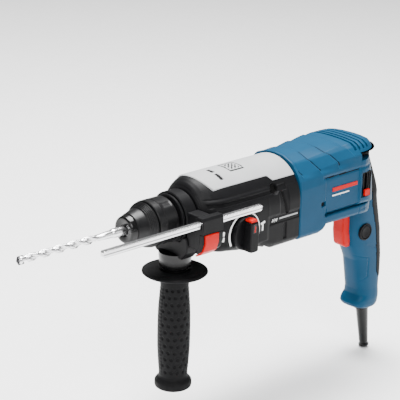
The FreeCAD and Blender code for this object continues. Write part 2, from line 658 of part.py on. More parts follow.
def gear_housing():
    """Black front housing with its neck, hollow for the gears, open at the motor joint."""
    body = new_body("gear_shell")
    front, joint, wall = size("house_front"), size("house_joint"), size("wall")
    half, floor = size("half_width"), size("gear_floor")
    feature(body, "Pad", arch(body, front, half, floor), joint - front)
    rounded(body, size("corner_radius"), lambda edge: along((1, 0, 0))(edge)
            and edge.CenterOfMass.z < -40.0)
    under = outline(body, "XZ_Plane", [
        (front - 1.0, -30.0), (front, -30.5), (90.0, -34.5), (120.0, -39.5), (150.0, -42.5),
        (160.0, -46.0), (170.0, floor), (170.0, floor - 1.0), (front - 1.0, floor - 1.0)])
    feature(body, "Pocket", under, 100.0, both=True)
    over = outline(body, "XZ_Plane", [
        (front - 1.0, 30.0), (front + 4.0, 34.5), (front + 13.0, 37.6), (front + 13.0, 40.0),
        (front - 1.0, 40.0)])
    feature(body, "Pocket", over, 100.0, both=True)
    for side in (-1, 1):
        cheek = outline(body, "XY_Plane", [
            (front - 1.0, side * 29.5), (front + 12.0, side * 36.5), (front + 24.0, side * half),
            (front + 24.0, side * (half + 2.0)), (front - 1.0, side * (half + 2.0))])
        feature(body, "Pocket", cheek, 120.0, both=True)
    rooms = [(joint, joint - 154.0, floor + wall), (154.0, 36.0, -39.0),
             (119.0, 20.0, -34.3)]
    for start, length, room_floor in rooms:
        feature(body, "Pocket", arch(body, start, half - wall, room_floor), length)
    narrow = outline(body, "YZ_Plane", [(-26.5, -27.5), (26.5, -27.5), (26.5, 20.0),
                                        (15.0, 30.0), (-15.0, 30.0), (-26.5, 20.0)],
                     measure(99.5))
    feature(body, "Pocket", narrow, 18.0)
    turned("gear_shell", [
        (size("neck_front"), size("neck_bore")), (size("neck_front"), size("neck_ring_radius")),
        (size("neck_ring_rear"), size("neck_ring_radius")),
        (size("neck_ring_rear"), size("neck_radius")), (front + 2.0, size("neck_radius")),
        (front + 2.0, size("neck_bore"))], body=body)
    turned("gear_shell", [
        (front - 1.0, 0.0), (front - 1.0, size("neck_bore")), (front + 8.0, size("neck_bore")),
        (front + 8.0, 0.0)], kind="Groove", body=body)
    seat = cover_arc("cover_seat", half + 3.0, half - 2.7, size("cover_front") - 0.3, 47.0)
    axle = rod("knob_hole", 6.3, 8.0, (size("knob_x"), -45.0, size("knob_z")), TO_Y)
    node(cut("gear_housing", body, seat, axle))


def cover_arc(label, outer, inner, front, half_angle):
    """A curved strip over the top of the gear housing, concentric with the arch."""
    tube = rod(f"{label}_outer", outer, size("house_joint") - front,
               (front, 0.0, size("arch_centre")), TO_X)
    tube.Angle = 2.0 * half_angle
    base = FreeCAD.Rotation(FreeCAD.Vector(0, 1, 0), 90.0)
    lift = FreeCAD.Rotation(FreeCAD.Vector(1, 0, 0), 180.0 - half_angle)
    tube.Placement = FreeCAD.Placement(tube.Placement.Base, lift.multiply(base))
    core = rod(f"{label}_inner", inner, 140.0, (front - 1.0, 0.0, size("arch_centre")), TO_X)
    return cut(label, tube, core)


def top_cover():
    """Light grey cover let into the top of the gear housing, with two vent slots."""
    half = size("half_width")
    strip = cover_arc("cover_strip", half, half - 2.4, size("cover_front"), 46.0)
    slots = [block(f"cover_slot_{number}", (111.0, low, 25.0), (114.0, low + 9.0, 45.0))
             for number, low in enumerate((-6.0, -22.0))]
    node(cut("top_cover", strip, *slots))


def vent_slot(label, spot_x, width, half_angle, half, depth):
    """A thin curved cutter that wraps over the arch."""
    disc = rod(f"{label}_disc", half + 3.0, width, (spot_x, 0.0, size("arch_centre")), TO_X)
    core = rod(f"{label}_core", half - depth, width + 2.0,
               (spot_x - 1.0, 0.0, size("arch_centre")), TO_X)
    disc.Angle = 2.0 * half_angle
    base = FreeCAD.Rotation(FreeCAD.Vector(0, 1, 0), 90.0)
    lift = FreeCAD.Rotation(FreeCAD.Vector(1, 0, 0), 180.0 - half_angle)
    disc.Placement = FreeCAD.Placement(disc.Placement.Base, lift.multiply(base))
    return cut(label, disc, core)


def crown_block(body):
    """Squarer section of the vented crown, added to the round housing behind the windings."""
    start = size("crown_front")
    section = outline(body, "YZ_Plane", [
        (-40.5, 10.0), (-40.5, 25.0), (-38.5, 31.0), (-28.0, 38.6), (-12.0, 40.0),
        (12.0, 40.0), (28.0, 38.6), (38.5, 31.0), (40.5, 25.0), (40.5, 10.0)], start)
    feature(body, "Pad", section, size("crown_rear") - start)


def motor_housing():
    """Blue motor housing with a vented crown, side windows and screw bosses."""
    body = new_body("motor_shell")
    front, rear, crown = size("motor_front"), size("motor_rear"), size("crown_rear")
    half, floor, wall = size("half_width"), size("motor_floor"), size("wall")
    ceiling, lobe = size("arm_ceiling"), size("lobe_rear")
    feature(body, "Pad", arch(body, front, half, floor), crown - front)
    rounded(body, size("corner_radius"), lambda edge: along((1, 0, 0))(edge)
            and edge.CenterOfMass.z < -40.0)
    crown_block(body)
    under = outline(body, "XZ_Plane", [
        (lobe, floor - 1.0), (lobe, ceiling), (rear, ceiling), (rear - 7.5, 20.6),
        (rear - 7.5, size("crown_floor")), (crown + 1.0, size("crown_floor")),
        (crown + 1.0, floor - 1.0)])
    feature(body, "Pocket", under, 100.0, both=True)
    over = outline(body, "XZ_Plane", [
        (318.0, 40.1), (326.0, 39.0), (333.0, 36.5), (339.0, 33.0), (crown + 0.5, 28.0),
        (crown + 2.0, 46.0), (318.0, 46.0)])
    feature(body, "Pocket", over, 100.0, both=True)
    for side in (-1, 1):
        cheek = outline(body, "XY_Plane", [
            (306.0, side * half), (317.0, side * 39.0), (324.0, side * 34.5),
            (330.0, side * 28.0), (336.0, side * 20.0), (crown + 0.2, side * 8.0),
            (crown + 2.0, side * 8.0), (crown + 2.0, side * (half + 2.0)),
            (306.0, side * (half + 2.0))])
        feature(body, "Pocket", cheek, 120.0, both=True)
    room = arch(body, front, half - wall, floor + wall)
    feature(body, "Pocket", room, lobe - wall - front, back=True)
    room = arch(body, lobe - wall - 1.0, half - wall, ceiling + wall)
    feature(body, "Pocket", room, 67.0, back=True)
    room = arch(body, measure(311.0), 33.0, ceiling + wall)
    feature(body, "Pocket", room, 10.5, back=True)
    bosses = []
    for number, (across, up) in enumerate(SCREW_SPOTS):
        bosses.append(rod(f"boss_{number}", 5.6, 16.4, (front, across, up), TO_X))
    tools = [rod(f"boss_bore_{number}", 2.15, 20.0, (front - 1.0, across, up), TO_X)
             for number, (across, up) in enumerate(SCREW_SPOTS)]
    for number in range(4):
        tools.append(vent_slot(f"vent_{number}", measure(296.7 + 6.6 * number), 2.4, 48.0,
                               half + 11.0, 16.0))
    for side in (-1, 1):
        low, high = sorted((side * 29.0, side * 43.0))
        tools.append(block(f"window_{side}", (304.0, low, -22.0), (319.0, high, 6.0)))
        inner, outer = sorted((side * 31.0, side * 45.0))
        tools.append(block(f"pocket_{side}", (302.5, inner, 20.6),
                           (345.0, outer, size("crown_floor"))))
    axis_z = size("motor_axis")
    bosses.append(rod("rear_seat", 12.8, 21.0, (302.3, 0.0, axis_z), TO_X))
    tools.append(rod("rear_seat_bore", 9.55, 10.0, (300.0, 0.0, axis_z), TO_X))
    tools.append(rod("rear_seat_relief", 6.0, 20.0, (301.0, 0.0, axis_z), TO_X))
    shell = joined("motor_solid", body, *bosses)
    pivot = rod("pivot_bore", 3.1, 90.0, (size("pivot_x"), -45.0, size("pivot_z")), TO_Y)
    lugs = block("pivot_lugs", (lobe - 2.0, -30.0, ceiling - 11.0), (262.0, 30.0, ceiling + 1.0))
    shell = joined("motor_with_lugs", cut("motor_cut", shell, *tools), lugs)
    node(cut("motor_housing", shell, pivot))
    node(rod("pivot_pin", 3.05, 74.0, (size("pivot_x"), -37.0, size("pivot_z")), TO_Y))


def vent_grilles():
    """Slatted black inserts behind the two side windows; the left one guides the lever."""
    panels = []
    for side, label in ((-1, "left_grille"), (1, "right_grille")):
        low, high = sorted((side * 37.6, side * 40.2))
        panel = block(f"{label}_panel", (304.1, low, -21.9), (318.9, high, 5.9))
        tools = []
        for number, spot in enumerate((305.0, 308.0, 313.4, 316.2)):
            width = 4.5 if number == 1 else 1.8
            tools.append(block(f"{label}_gap_{number}", (spot, low - 1.0, -20.9),
                               (spot + width - 0.2, high + 1.0, 4.9)))
        panels.append(cut(label, panel, *tools))
    node(group("vent_grilles", *panels))


# ---------------------------------------------------------------- rear handle

def handle_line(inset):
    """The rear line of the handle from its top to its foot, moved forward by inset."""
    return [(342.5 - inset, 20.0), (346.5 - inset, 10.0), (350.5 - inset, 0.0),
            (355.5 - inset, -10.0), (360.0 - inset, -20.0), (363.5 - inset, -30.0),
            (365.0 - inset, -40.0), (370.0 - inset, -60.0), (375.0 - inset, -82.0),
            (377.0 - inset, -100.0), (377.5 - inset, -118.0), (377.5 - inset, -136.0)]


def boot_rod(label, radius, start, length):
    """A cylinder on the tilted axis of the cord boot, from a height above the boot's foot."""
    tilt = math.radians(SIZES["boot_tilt"])
    spot = (size("boot_x") - start * math.sin(tilt), 0.0, size("boot_z") + start * math.cos(tilt))
    return rod(label, radius, length, spot, ((0, 1, 0), -SIZES["boot_tilt"]))


def rear_handle():
    """Blue handle: lower arm, upright behind the motor housing and pistol grip."""
    body = new_body("handle_solid")
    half = size("grip_half")
    line = handle_line(3.4)
    grip = [(330.0, 20.0)] + line + [
        (377.5, -136.5), (376.5, -152.0), (377.5, -164.0), (375.5, -171.0), (369.0, -175.0),
        (345.0, -172.0), (338.5, -171.5), (335.0, -167.5), (336.5, -163.5), (341.5, -160.0),
        (343.0, -154.0), (342.0, -140.0), (339.0, -128.0), (336.0, -112.0), (331.5, -104.0),
        (327.0, -94.0), (322.5, -80.0), (322.0, -60.0), (321.5, -41.0), (338.0, -34.0),
        (336.5, -20.0)]
    arm = outline(body, "XZ_Plane", [
        (size("lobe_rear") + 1.2, -31.6), (349.0, -31.6), (349.0, -47.0), (318.0, -43.5),
        (size("lobe_rear") + 1.2, -42.0)])
    feature(body, "Pad", arm, 2.0 * size("arm_half"), both=True)
    for side in (-1, 1):
        taper = outline(body, "XY_Plane", [
            (322.0, side * (size("arm_half") + 0.1)), (331.0, side * 29.0),
            (341.0, side * (half + 0.1)), (351.0, side * (half + 0.1)),
            (351.0, side * (size("arm_half") + 2.0)), (322.0, side * (size("arm_half") + 2.0))])
        feature(body, "Pocket", taper, 120.0, both=True)
    feature(body, "Pad", outline(body, "XZ_Plane", grip), 2.0 * half, both=True)
    rounded(body, 4.0, lambda edge: abs(abs(edge.CenterOfMass.y) - SIZES["grip_half"]) < 0.01
            and edge.CenterOfMass.z < -108.0 and edge.CenterOfMass.z > -154.0
            and edge.CenterOfMass.x < 345.0)
    notch = block("lug_notch", (size("lobe_rear"), -30.6, -45.0), (263.6, 30.6, -31.0))
    pin_hole = rod("pin_hole", 3.11, 90.0, (size("pivot_x"), -45.0, size("pivot_z")), TO_Y)
    room = block("switch_room", (310.0, -8.9, -94.0), (352.0, 8.9, -45.5))
    hole = rod("lock_hole", size("lock_radius") + 0.3, 12.0,
               (size("lock_x"), -20.0, size("lock_z")), TO_Y)
    cable = block("cable_room", (350.0, -9.0, -158.0), (368.0, 9.0, -90.0))
    length = SIZES["boot_length"]
    seats = [boot_rod("boot_collar_seat", 9.75, length - 11.0, 5.2),
             boot_rod("boot_plug_seat", 7.3, length - 7.0, 7.2),
             boot_rod("cable_way", 4.6, length - 1.0, 14.0)]
    node(cut("rear_handle", body, notch, pin_hole, room, cable, hole, *seats))


def grip_rubber():
    """Black soft strip down the back of the handle."""
    inner = handle_line(3.3)
    outer = handle_line(0.0)
    body = padded("grip_rubber", "XZ_Plane", outer + inner[::-1], 2.0 * size("grip_half"),
                  both=True)
    node(body)


def trigger_and_switch():
    """Speed trigger, its switch and spring, and the lock-on button."""
    half, front = size("trigger_half"), size("trigger_front")
    body = padded("trigger", "XZ_Plane", [
        (front + 0.5, -46.2), (327.0, -46.2), (327.0, -92.5), (320.0, -92.5),
        (316.0, -89.0), (front + 0.3, -78.0), (front, -60.0)], 2.0 * half, both=True)
    rounded(body, 2.5, lambda edge: abs(abs(edge.CenterOfMass.y) - SIZES["trigger_half"]) < 0.01
            and edge.CenterOfMass.x < 319.0 and edge.CenterOfMass.z < -50.0)
    node(body)
    node(block("switch_body", (335.5, -8.5, -91.0), (351.0, 8.5, -50.0)))
    node(spring("trigger_spring", 0.5, 3.5, 8.1, 4, (327.2, 0.0, -66.0), TO_X))
    cap = rod("lock_button", size("lock_radius"), 5.0, (size("lock_x"), -18.9, size("lock_z")),
              TO_Y)
    node(cap)


def bellows_and_spring():
    """Folded rubber gaiter and damping spring between the crown and the handle's head."""
    wave = [(20.4, 0.0), (21.8, 1.2), (23.2, 0.0), (24.6, 1.2), (26.0, 0.0), (27.4, 1.2),
            (29.0, 0.0)]
    outer = [(339.5 + bulge, height) for height, bulge in wave]
    inner = [(330.5 - bulge, height) for height, bulge in wave[::-1]]
    body = padded("bellows_solid", "XZ_Plane", outer + inner, 30.0, both=True)
    hollow = block("bellows_hollow", (331.7, -12.0, 15.0), (338.3, 12.0, 35.0))
    node(cut("handle_bellows", body, hollow))
    node(spring("handle_spring", 0.5, 2.0, 8.4, 4, (335.0, 0.0, 20.5)))


def cord_boot():
    """Bend-protection sleeve for the cable, tapering to a flared end, with a through bore."""
    bore, length = size("boot_bore"), size("boot_length")
    body = turned("cord_boot", [
        (bore, 0.0), (bore, length), (7.2, length), (7.2, length - 6.0), (9.5, length - 6.0),
        (9.5, length - 9.0), (7.2, length - 10.5), (5.2, 6.0), (5.0, 4.0), (5.9, 1.5),
        (5.9, 0.0)], about="V_Axis")
    node(place(body, size("boot_x"), 0.0, size("boot_z"), (0, 1, 0), -SIZES["boot_tilt"]))


# ---------------------------------------------------------------- mode knob

def mode_knob():
    """Round selector with a bar grip, its release button, axle and shift fork."""
    spot_x, spot_z, radius = size("knob_x"), size("knob_z"), size("knob_radius")
    seat, face, grip = size("knob_seat"), size("knob_face"), size("knob_grip_face")
    disc = rod("knob_disc", radius, seat - face, (spot_x, face, spot_z), TO_Y)
    half = size("knob_grip_width") * 0.5
    bar = block("knob_bar", (spot_x - half, grip, spot_z - 16.8),
                (spot_x + half, face + 1.0, spot_z + 16.8))
    edge = rod("knob_reach", radius, 20.0, (spot_x, grip - 1.0, spot_z), TO_Y)
    handle = doc.addObject("Part::Common", "Knob_handle")
    handle.Base = bar
    handle.Tool = edge
    axle = rod("knob_axle", 6.0, 16.0, (spot_x, seat - 1.0, spot_z), TO_Y)
    crank = rod("knob_crank", 2.0, 11.0, (spot_x, seat + 14.0, spot_z + 3.5), TO_Y)
    pocket = block("button_pocket", (spot_x - 4.1, grip + 1.6, spot_z + 8.0),
                   (spot_x + 4.1, face - 1.4, spot_z + 20.0))
    node(cut("mode_knob", joined("knob_solid", disc, handle, axle, crank), pocket))
    node(block("knob_button", (spot_x - 3.7, grip + 2.0, spot_z + 10.8),
               (spot_x + 3.7, face - 1.8, spot_z + 17.4)))


def shift_fork():
    """Plate that carries the knob's crank motion to the clutch sleeve."""
    shaft_z = size("counter_axis")
    plate = block("fork_plate", (121.3, -19.4, -24.6), (147.0, -17.6, -11.0))
    fork = block("fork_arm", (144.3, -17.7, shaft_z - 3.0), (145.7, -7.2, shaft_z + 3.0))
    slot = block("crank_slot", (122.4, -30.0, -22.7), (128.6, -10.0, -13.6))
    node(cut("shift_fork", joined("fork_solid", plate, fork), slot))


# ---------------------------------------------------------------- side handle

def side_clamp():
    """Clamp around the neck with its saddle, boss and the depth-rod holder."""
    front, rear, clamp_x = size("band_front"), size("band_rear"), size("clamp_x")
    band = rod("band_disc", size("band_radius"), rear - front, (front, 0.0, 0.0), TO_X)
    saddle = padded("saddle", "YZ_Plane", [
        (-28.0, -22.0), (-26.0, -33.0), (-18.0, -41.0), (18.0, -41.0), (26.0, -33.0),
        (28.0, -22.0), (24.0, -14.0), (-24.0, -14.0)], 17.1, offset=measure(60.2))
    boss = rod("clamp_boss", size("boss_radius"), 18.0, (clamp_x, 0.0, size("boss_floor")))
    trim = block("boss_trim", (77.3, -40.0, -70.0), (95.0, 40.0, 40.0))
    rise = block("cheek_rise", (62.0, -44.0, -26.0), (77.0, -20.0, 11.0))
    cheek = padded("cheek", "YZ_Plane", [
        (-41.8, -26.0), (-41.8, 11.0), (-44.0, 12.4), (-51.0, 12.4), (-53.0, 10.0),
        (-53.0, -14.0), (-50.0, -22.0), (-45.0, -26.0)], 27.5, offset=measure(57.5))
    solid = joined("clamp_solid", cut("boss_cut", boss, trim), band, saddle, rise, cheek)
    neck = rod("clamp_neck", size("band_bore"), 60.0, (40.0, 0.0, 0.0), TO_X)
    bolt = rod("bolt_hole", 4.05, 40.0, (clamp_x, 0.0, -60.0))
    slot = block("rod_slot", (50.0, size("rod_y") - 3.4, size("rod_z") - 3.8),
                 (100.0, size("rod_y") + 3.4, size("rod_z") + 3.8))
    pocket = padded("button_pocket_side", "YZ_Plane", [
        (-56.0, -4.6), (-48.1, -4.6), (-48.1, -13.4), (-45.7, -21.2), (-42.6, -23.8),
        (-42.6, -30.0), (-56.0, -30.0)], 18.8, offset=measure(59.6))
    floor = block("head_room", (62.9, -6.5, -27.6), (75.7, 6.5, -20.0))
    node(cut("clamp_body", solid, neck, bolt, slot, pocket, floor))
    head = rod("bolt_head", 6.2, 3.4, (clamp_x, 0.0, -27.5))
    shaft = rod("bolt_shaft", 4.0, 72.0, (clamp_x, 0.0, -99.0))
    node(joined("clamp_bolt", head, shaft))


def side_grip():
    """Round side grip with its guard flange, waisted column and pommel, hollow for the bolt."""
    flange, pommel, floor = size("flange_radius"), size("pommel_radius"), size("grip_floor")
    top = size("boss_floor") - 0.4
    body = turned("side_grip", [
        (8.05, top), (flange - 12.0, top), (flange - 2.0, top - 0.9), (flange, top - 2.2),
        (flange - 1.5, top - 4.2), (17.5, top - 5.4), (15.0, top - 10.0), (14.8, -75.0),
        (16.6, -98.0), (17.1, -116.0), (17.1, -140.0), (15.9, -162.0), (15.0, -174.0),
        (pommel - 1.0, -178.5), (pommel, -181.0), (pommel, -185.0), (pommel - 2.5, floor),
        (9.0, floor), (9.0, floor + 2.5), (0.0, floor + 2.5), (0.0, -108.0), (4.4, -104.0),
        (4.4, top - 22.0), (8.05, top - 22.0)], about="V_Axis")
    node(place(body, size("clamp_x")))
    nut = turned("grip_nut", [(4.05, top - 1.0), (8.0, top - 1.0), (8.0, top - 21.8),
                              (4.05, top - 21.8)], about="V_Axis")
    node(place(nut, size("clamp_x")))


def depth_stop():
    """Serrated steel depth rod and the button that releases it."""
    half = size("rod_width") * 0.5
    rise = size("rod_height") * 0.5
    y, z = size("rod_y"), size("rod_z")
    body = padded("depth_rod", "YZ_Plane", [
        (y - half, z - rise + 1.5), (y - half + 1.5, z - rise), (y + half - 1.5, z - rise),
        (y + half, z - rise + 1.5), (y + half, z + rise - 1.2), (y + half - 1.2, z + rise),
        (y - half + 1.2, z + rise), (y - half, z + rise - 1.2)],
        size("rod_rear") - size("rod_front"), offset=size("rod_front"))
    node(body)
    face = padded("depth_button", "YZ_Plane", [
        (-54.2, -5.0), (-54.2, -14.2), (-51.2, -22.6), (-46.6, -26.8), (-45.0, -25.0),
        (-48.8, -21.4), (-51.2, -13.6), (-51.2, -5.0)], 18.0, offset=measure(60.0))
    node(face)


def build():
    drill_bit()
    tool_holder()
    dust_cap()
    locking_sleeve()
    hammer_parts()
    gear_train()
    wobble_ring()
    armature()
    stator()
    brush_gear()
    bearings()
    bulkheads()
    gear_housing()
    top_cover()
    motor_housing()
    vent_grilles()
    rear_handle()
    grip_rubber()
    trigger_and_switch()
    bellows_and_spring()
    cord_boot()
    mode_knob()
    shift_fork()
    side_clamp()
    side_grip()
    depth_stop()


def check_and_write():
    """Refuse failed features and bad shapes, then write one STEP file per sub-part."""
    doc.recompute()
    for item in doc.Objects:
        if "Invalid" in item.State or "Error" in item.State:
            raise ValueError(f"{item.Label} failed to build")
    os.makedirs("parts", exist_ok=True)
    for item in nodes:
        shape = item.Shape
        if shape.isNull() or not shape.isValid() or shape.Volume <= 0:
            raise ValueError(f"{item.Label} has no sound shape")
        shape.exportStep(f"parts/{item.Label}.step")
        print(f"{item.Label}: {len(shape.Solids)} solid(s), {shape.Volume / 1000:.2f} cm3")


build()
check_and_write()
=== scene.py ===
import json
import math

import bmesh
import bpy
import numpy as np
from mathutils import Matrix, Vector


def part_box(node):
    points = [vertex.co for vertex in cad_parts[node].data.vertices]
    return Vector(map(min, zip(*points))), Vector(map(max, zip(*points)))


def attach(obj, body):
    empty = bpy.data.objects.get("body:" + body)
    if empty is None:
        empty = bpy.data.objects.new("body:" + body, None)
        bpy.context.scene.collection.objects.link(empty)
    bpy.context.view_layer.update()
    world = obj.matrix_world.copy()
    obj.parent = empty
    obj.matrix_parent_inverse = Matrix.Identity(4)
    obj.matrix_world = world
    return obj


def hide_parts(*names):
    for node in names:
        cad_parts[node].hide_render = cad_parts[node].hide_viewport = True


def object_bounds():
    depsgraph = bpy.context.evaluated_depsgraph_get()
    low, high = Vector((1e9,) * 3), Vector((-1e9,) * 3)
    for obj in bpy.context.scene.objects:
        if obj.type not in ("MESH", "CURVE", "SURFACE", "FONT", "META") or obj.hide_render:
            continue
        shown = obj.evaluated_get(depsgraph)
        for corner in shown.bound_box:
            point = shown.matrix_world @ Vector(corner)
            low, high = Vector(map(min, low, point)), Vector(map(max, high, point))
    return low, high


# Looks of the rotary hammer. Lengths below are millimetres in the row's frame: the spindle is
# the X axis, the bit points to -X, +Z is up and -Y is the side of the mode knob.
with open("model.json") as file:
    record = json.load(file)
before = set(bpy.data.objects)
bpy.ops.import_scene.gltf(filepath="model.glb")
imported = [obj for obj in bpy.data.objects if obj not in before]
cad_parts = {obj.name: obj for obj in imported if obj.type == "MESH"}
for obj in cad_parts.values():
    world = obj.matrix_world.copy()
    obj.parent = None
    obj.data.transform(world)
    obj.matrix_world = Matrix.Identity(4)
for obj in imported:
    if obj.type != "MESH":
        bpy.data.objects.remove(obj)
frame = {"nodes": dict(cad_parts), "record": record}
cad_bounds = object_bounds()
MM = 0.001
ARCH_CENTRE = -4.0
HALF_WIDTH = 41.5
BASE_POINTS, SIDE_POINTS, ARC_POINTS = 41, 61, 97


# ---------------------------------------------------------------- small mathematics

def limits(node):
    """Lowest and highest corner of a CAD node, in millimetres."""
    low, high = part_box(node)
    return np.array(low) / MM, np.array(high) / MM


def ease(value, low, high):
    """0 below low, 1 above high and a smooth rise between them."""
    share = np.clip((value - low) / (high - low), 0.0, 1.0)
    return share * share * (3.0 - 2.0 * share)


def band(value, low, high, soft=0.45):
    """1 between low and high, falling to 0 over the soft width outside."""
    return ease(value, low - soft, low + soft) * (1.0 - ease(value, high - soft, high + soft))


def follow(table, value):
    """Straight-line interpolation in a short list of (place, amount) pairs."""
    places, amounts = zip(*sorted(table))
    return np.interp(value, places, amounts)


# ---------------------------------------------------------------- materials

def node_material(name):
    """A new material with its node tree and its main shader."""
    material = bpy.data.materials.new(name)
    material.use_nodes = True
    nodes = material.node_tree.nodes
    return material, nodes, material.node_tree.links, nodes["Principled BSDF"]


def noise(nodes, links, scale, detail=4.0, stretch=(1.0, 1.0, 1.0)):
    """Object-space noise at a scale given in cells per metre."""
    place = nodes.new("ShaderNodeTexCoord")
    mapping = nodes.new("ShaderNodeMapping")
    mapping.inputs["Scale"].default_value = stretch
    texture = nodes.new("ShaderNodeTexNoise")
    texture.inputs["Scale"].default_value = scale
    texture.inputs["Detail"].default_value = detail
    links.new(place.outputs["Object"], mapping.inputs["Vector"])
    links.new(mapping.outputs["Vector"], texture.inputs["Vector"])
    return texture.outputs["Fac"]


PATCH_SCALE = 45.0
ROUGH_SWING = 0.08


def surface(name, color, rough, metallic=0.0, grain=1400.0, depth=0.00004, mottle=0.07,
            stretch=(1.0, 1.0, 1.0), gleam=0.1):
    """A moulded, rubber or metal finish: grain bump, soft colour patches, uneven gloss.

    grain is in cells per metre, depth is the bump's height in metres, mottle is how far the
    colour strays and gleam is the strength of the mirror-like reflection.
    """
    material, nodes, links, shader = node_material(name)
    ramp = nodes.new("ShaderNodeValToRGB")
    ramp.color_ramp.elements[0].position = 0.32
    ramp.color_ramp.elements[1].position = 0.68
    for element, factor in zip(ramp.color_ramp.elements, (1.0 - mottle, 1.0 + mottle)):
        element.color = [min(1.0, part * factor) for part in color] + [1.0]
    links.new(noise(nodes, links, PATCH_SCALE, 3.0, stretch), ramp.inputs["Fac"])
    links.new(ramp.outputs["Color"], shader.inputs["Base Color"])
    swing = nodes.new("ShaderNodeMapRange")
    swing.inputs["To Min"].default_value = max(0.02, rough - ROUGH_SWING)
    swing.inputs["To Max"].default_value = min(1.0, rough + ROUGH_SWING)
    links.new(noise(nodes, links, PATCH_SCALE * 4.0, 5.0, stretch), swing.inputs["Value"])
    links.new(swing.outputs["Result"], shader.inputs["Roughness"])
    bump = nodes.new("ShaderNodeBump")
    bump.inputs["Strength"].default_value = 0.6
    bump.inputs["Distance"].default_value = depth
    links.new(noise(nodes, links, grain, 2.0, stretch), bump.inputs["Height"])
    links.new(bump.outputs["Normal"], shader.inputs["Normal"])
    shader.inputs["Metallic"].default_value = metallic
    shader.inputs["Specular IOR Level"].default_value = gleam
    return material


BLACK = surface("black_plastic_finish", (0.0035, 0.0035, 0.004), 0.46, grain=1600.0)
SLEEVE = surface("sleeve_finish", (0.0028, 0.0028, 0.0032), 0.36, grain=1800.0, depth=0.00002,
                 gleam=0.22)
BLUE = surface("blue_plastic_finish", (0.005, 0.043, 0.09), 0.42, grain=1500.0, mottle=0.05,
               gleam=0.08)
GREY = surface("grey_plastic_finish", (0.36, 0.365, 0.37), 0.45, grain=1500.0, mottle=0.03)
RED = surface("red_plastic_finish", (0.42, 0.0008, 0.0006), 0.36, grain=1600.0, mottle=0.05)
RUBBER = surface("soft_rubber_finish", (0.0042, 0.0042, 0.0046), 0.6, grain=2200.0,
                 depth=0.00006, mottle=0.12)
GLOSS = surface("gloss_black_finish", (0.002, 0.002, 0.0022), 0.2, grain=700.0, depth=0.00001,
                gleam=0.3)
# Near-black finish: painted shade on the floors of deep recesses, vents and slots, and the dark
# print on the grey cover.
SHADE_AND_PRINT = surface("painted_recess_shade_and_print", (0.004, 0.004, 0.004), 0.8)
BRIGHT = surface("bright_steel_finish", (0.78, 0.78, 0.79), 0.24, metallic=1.0, grain=900.0,
                 depth=0.00002, stretch=(0.08, 1.0, 1.0))
STEEL = surface("machined_steel_finish", (0.5, 0.5, 0.52), 0.34, metallic=1.0, grain=1200.0,
                stretch=(1.0, 0.15, 0.15))
CARBIDE = surface("carbide_finish", (0.12, 0.12, 0.125), 0.45, metallic=1.0, mottle=0.2)
CAST = surface("cast_aluminium_finish", (0.55, 0.56, 0.57), 0.5, metallic=1.0, grain=800.0,
               depth=0.0001)
COPPER = surface("copper_wire_finish", (0.6, 0.24, 0.1), 0.35, metallic=1.0, grain=600.0,
                 depth=0.0002, stretch=(1.0, 0.1, 1.0))
IRON = surface("lamination_finish", (0.12, 0.12, 0.125), 0.45, metallic=0.8, grain=2500.0,
               stretch=(1.0, 0.05, 0.05))
WHITE = surface("white_print_finish", (0.85, 0.85, 0.85), 0.5, mottle=0.02)

FINISHES = {
    "black_plastic": BLACK, "blue_plastic": BLUE, "grey_plastic": GREY, "red_plastic": RED,
    "soft_rubber": RUBBER, "gloss_black": GLOSS, "bright_steel": BRIGHT,
    "machined_steel": STEEL, "cast_aluminium": CAST, "copper": COPPER, "lamination": IRON,
}


def dress_cad_nodes():
    """Every CAD node gets the finish of its material slot."""
    for entry in frame["record"]["subparts"]:
        item = frame["nodes"][entry["node"]]
        item.data.materials.clear()
        item.data.materials.append(FINISHES[entry["material_slot"]])


# ---------------------------------------------------------------- mesh makers

def piece(name, points, faces, finish, body, replaced=(), marks=None, sharp=32.0):
    """A mesh piece in millimetres that rides on a body. marks lists each face's finish."""
    mesh = bpy.data.meshes.new(name)
    mesh.from_pydata((np.asarray(points, float) * MM).tolist(), [], faces)
    finishes = finish if isinstance(finish, (list, tuple)) else [finish]
    for material in finishes:
        mesh.materials.append(material)
    if marks is not None:
        mesh.polygons.foreach_set("material_index", np.asarray(marks, dtype=np.int32))
    work = bmesh.new()
    work.from_mesh(mesh)
    bmesh.ops.remove_doubles(work, verts=work.verts, dist=1e-6)
    bmesh.ops.recalc_face_normals(work, faces=work.faces)
    work.to_mesh(mesh)
    work.free()
    mesh.shade_smooth()
    mesh.set_sharp_from_angle(angle=math.radians(sharp))
    item = bpy.data.objects.new(name, mesh)
    bpy.context.collection.objects.link(item)
    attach(item, body)
    if replaced:
        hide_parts(*replaced)
    return item


def grid_faces(rows, columns, closed=True, caps=True):
    """Quads over rows of points, joined round when closed, with an end face at each end."""
    across = np.arange(columns if closed else columns - 1)
    ahead = (across + 1) % columns
    start = (np.arange(rows - 1) * columns)[:, None]
    quads = np.stack([start + across, start + ahead, start + columns + ahead,
                      start + columns + across], axis=-1).reshape(-1, 4)
    faces = quads.tolist()
    if caps:
        faces.append(list(range(columns)))
        faces.append(list(range((rows - 1) * columns, rows * columns)))
    return faces


def lathe(name, profile, finish, body, replaced=(), centre=(0.0, 0.0, 0.0), axis="X",
          steps=96, shape=None, sharp=32.0):
    """A turned piece from (place, radius) pairs along one axis. shape bends the radius."""
    profile = np.asarray(profile, float)
    turn = np.linspace(0.0, 2.0 * math.pi, steps, endpoint=False)
    place = np.repeat(profile[:, :1], steps, axis=1)
    radius = np.repeat(profile[:, 1:2], steps, axis=1)
    around = np.repeat(turn[None, :], len(profile), axis=0)
    if shape is not None:
        radius = radius - shape(place, around)
    one, two = radius * np.cos(around), radius * np.sin(around)
    order = {"X": (place, one, two), "Y": (one, place, two), "Z": (one, two, place)}[axis]
    points = np.stack(order, axis=-1).reshape(-1, 3) + np.asarray(centre)
    faces = grid_faces(len(profile), steps)
    return piece(name, points, faces, finish, body, replaced, sharp=sharp)


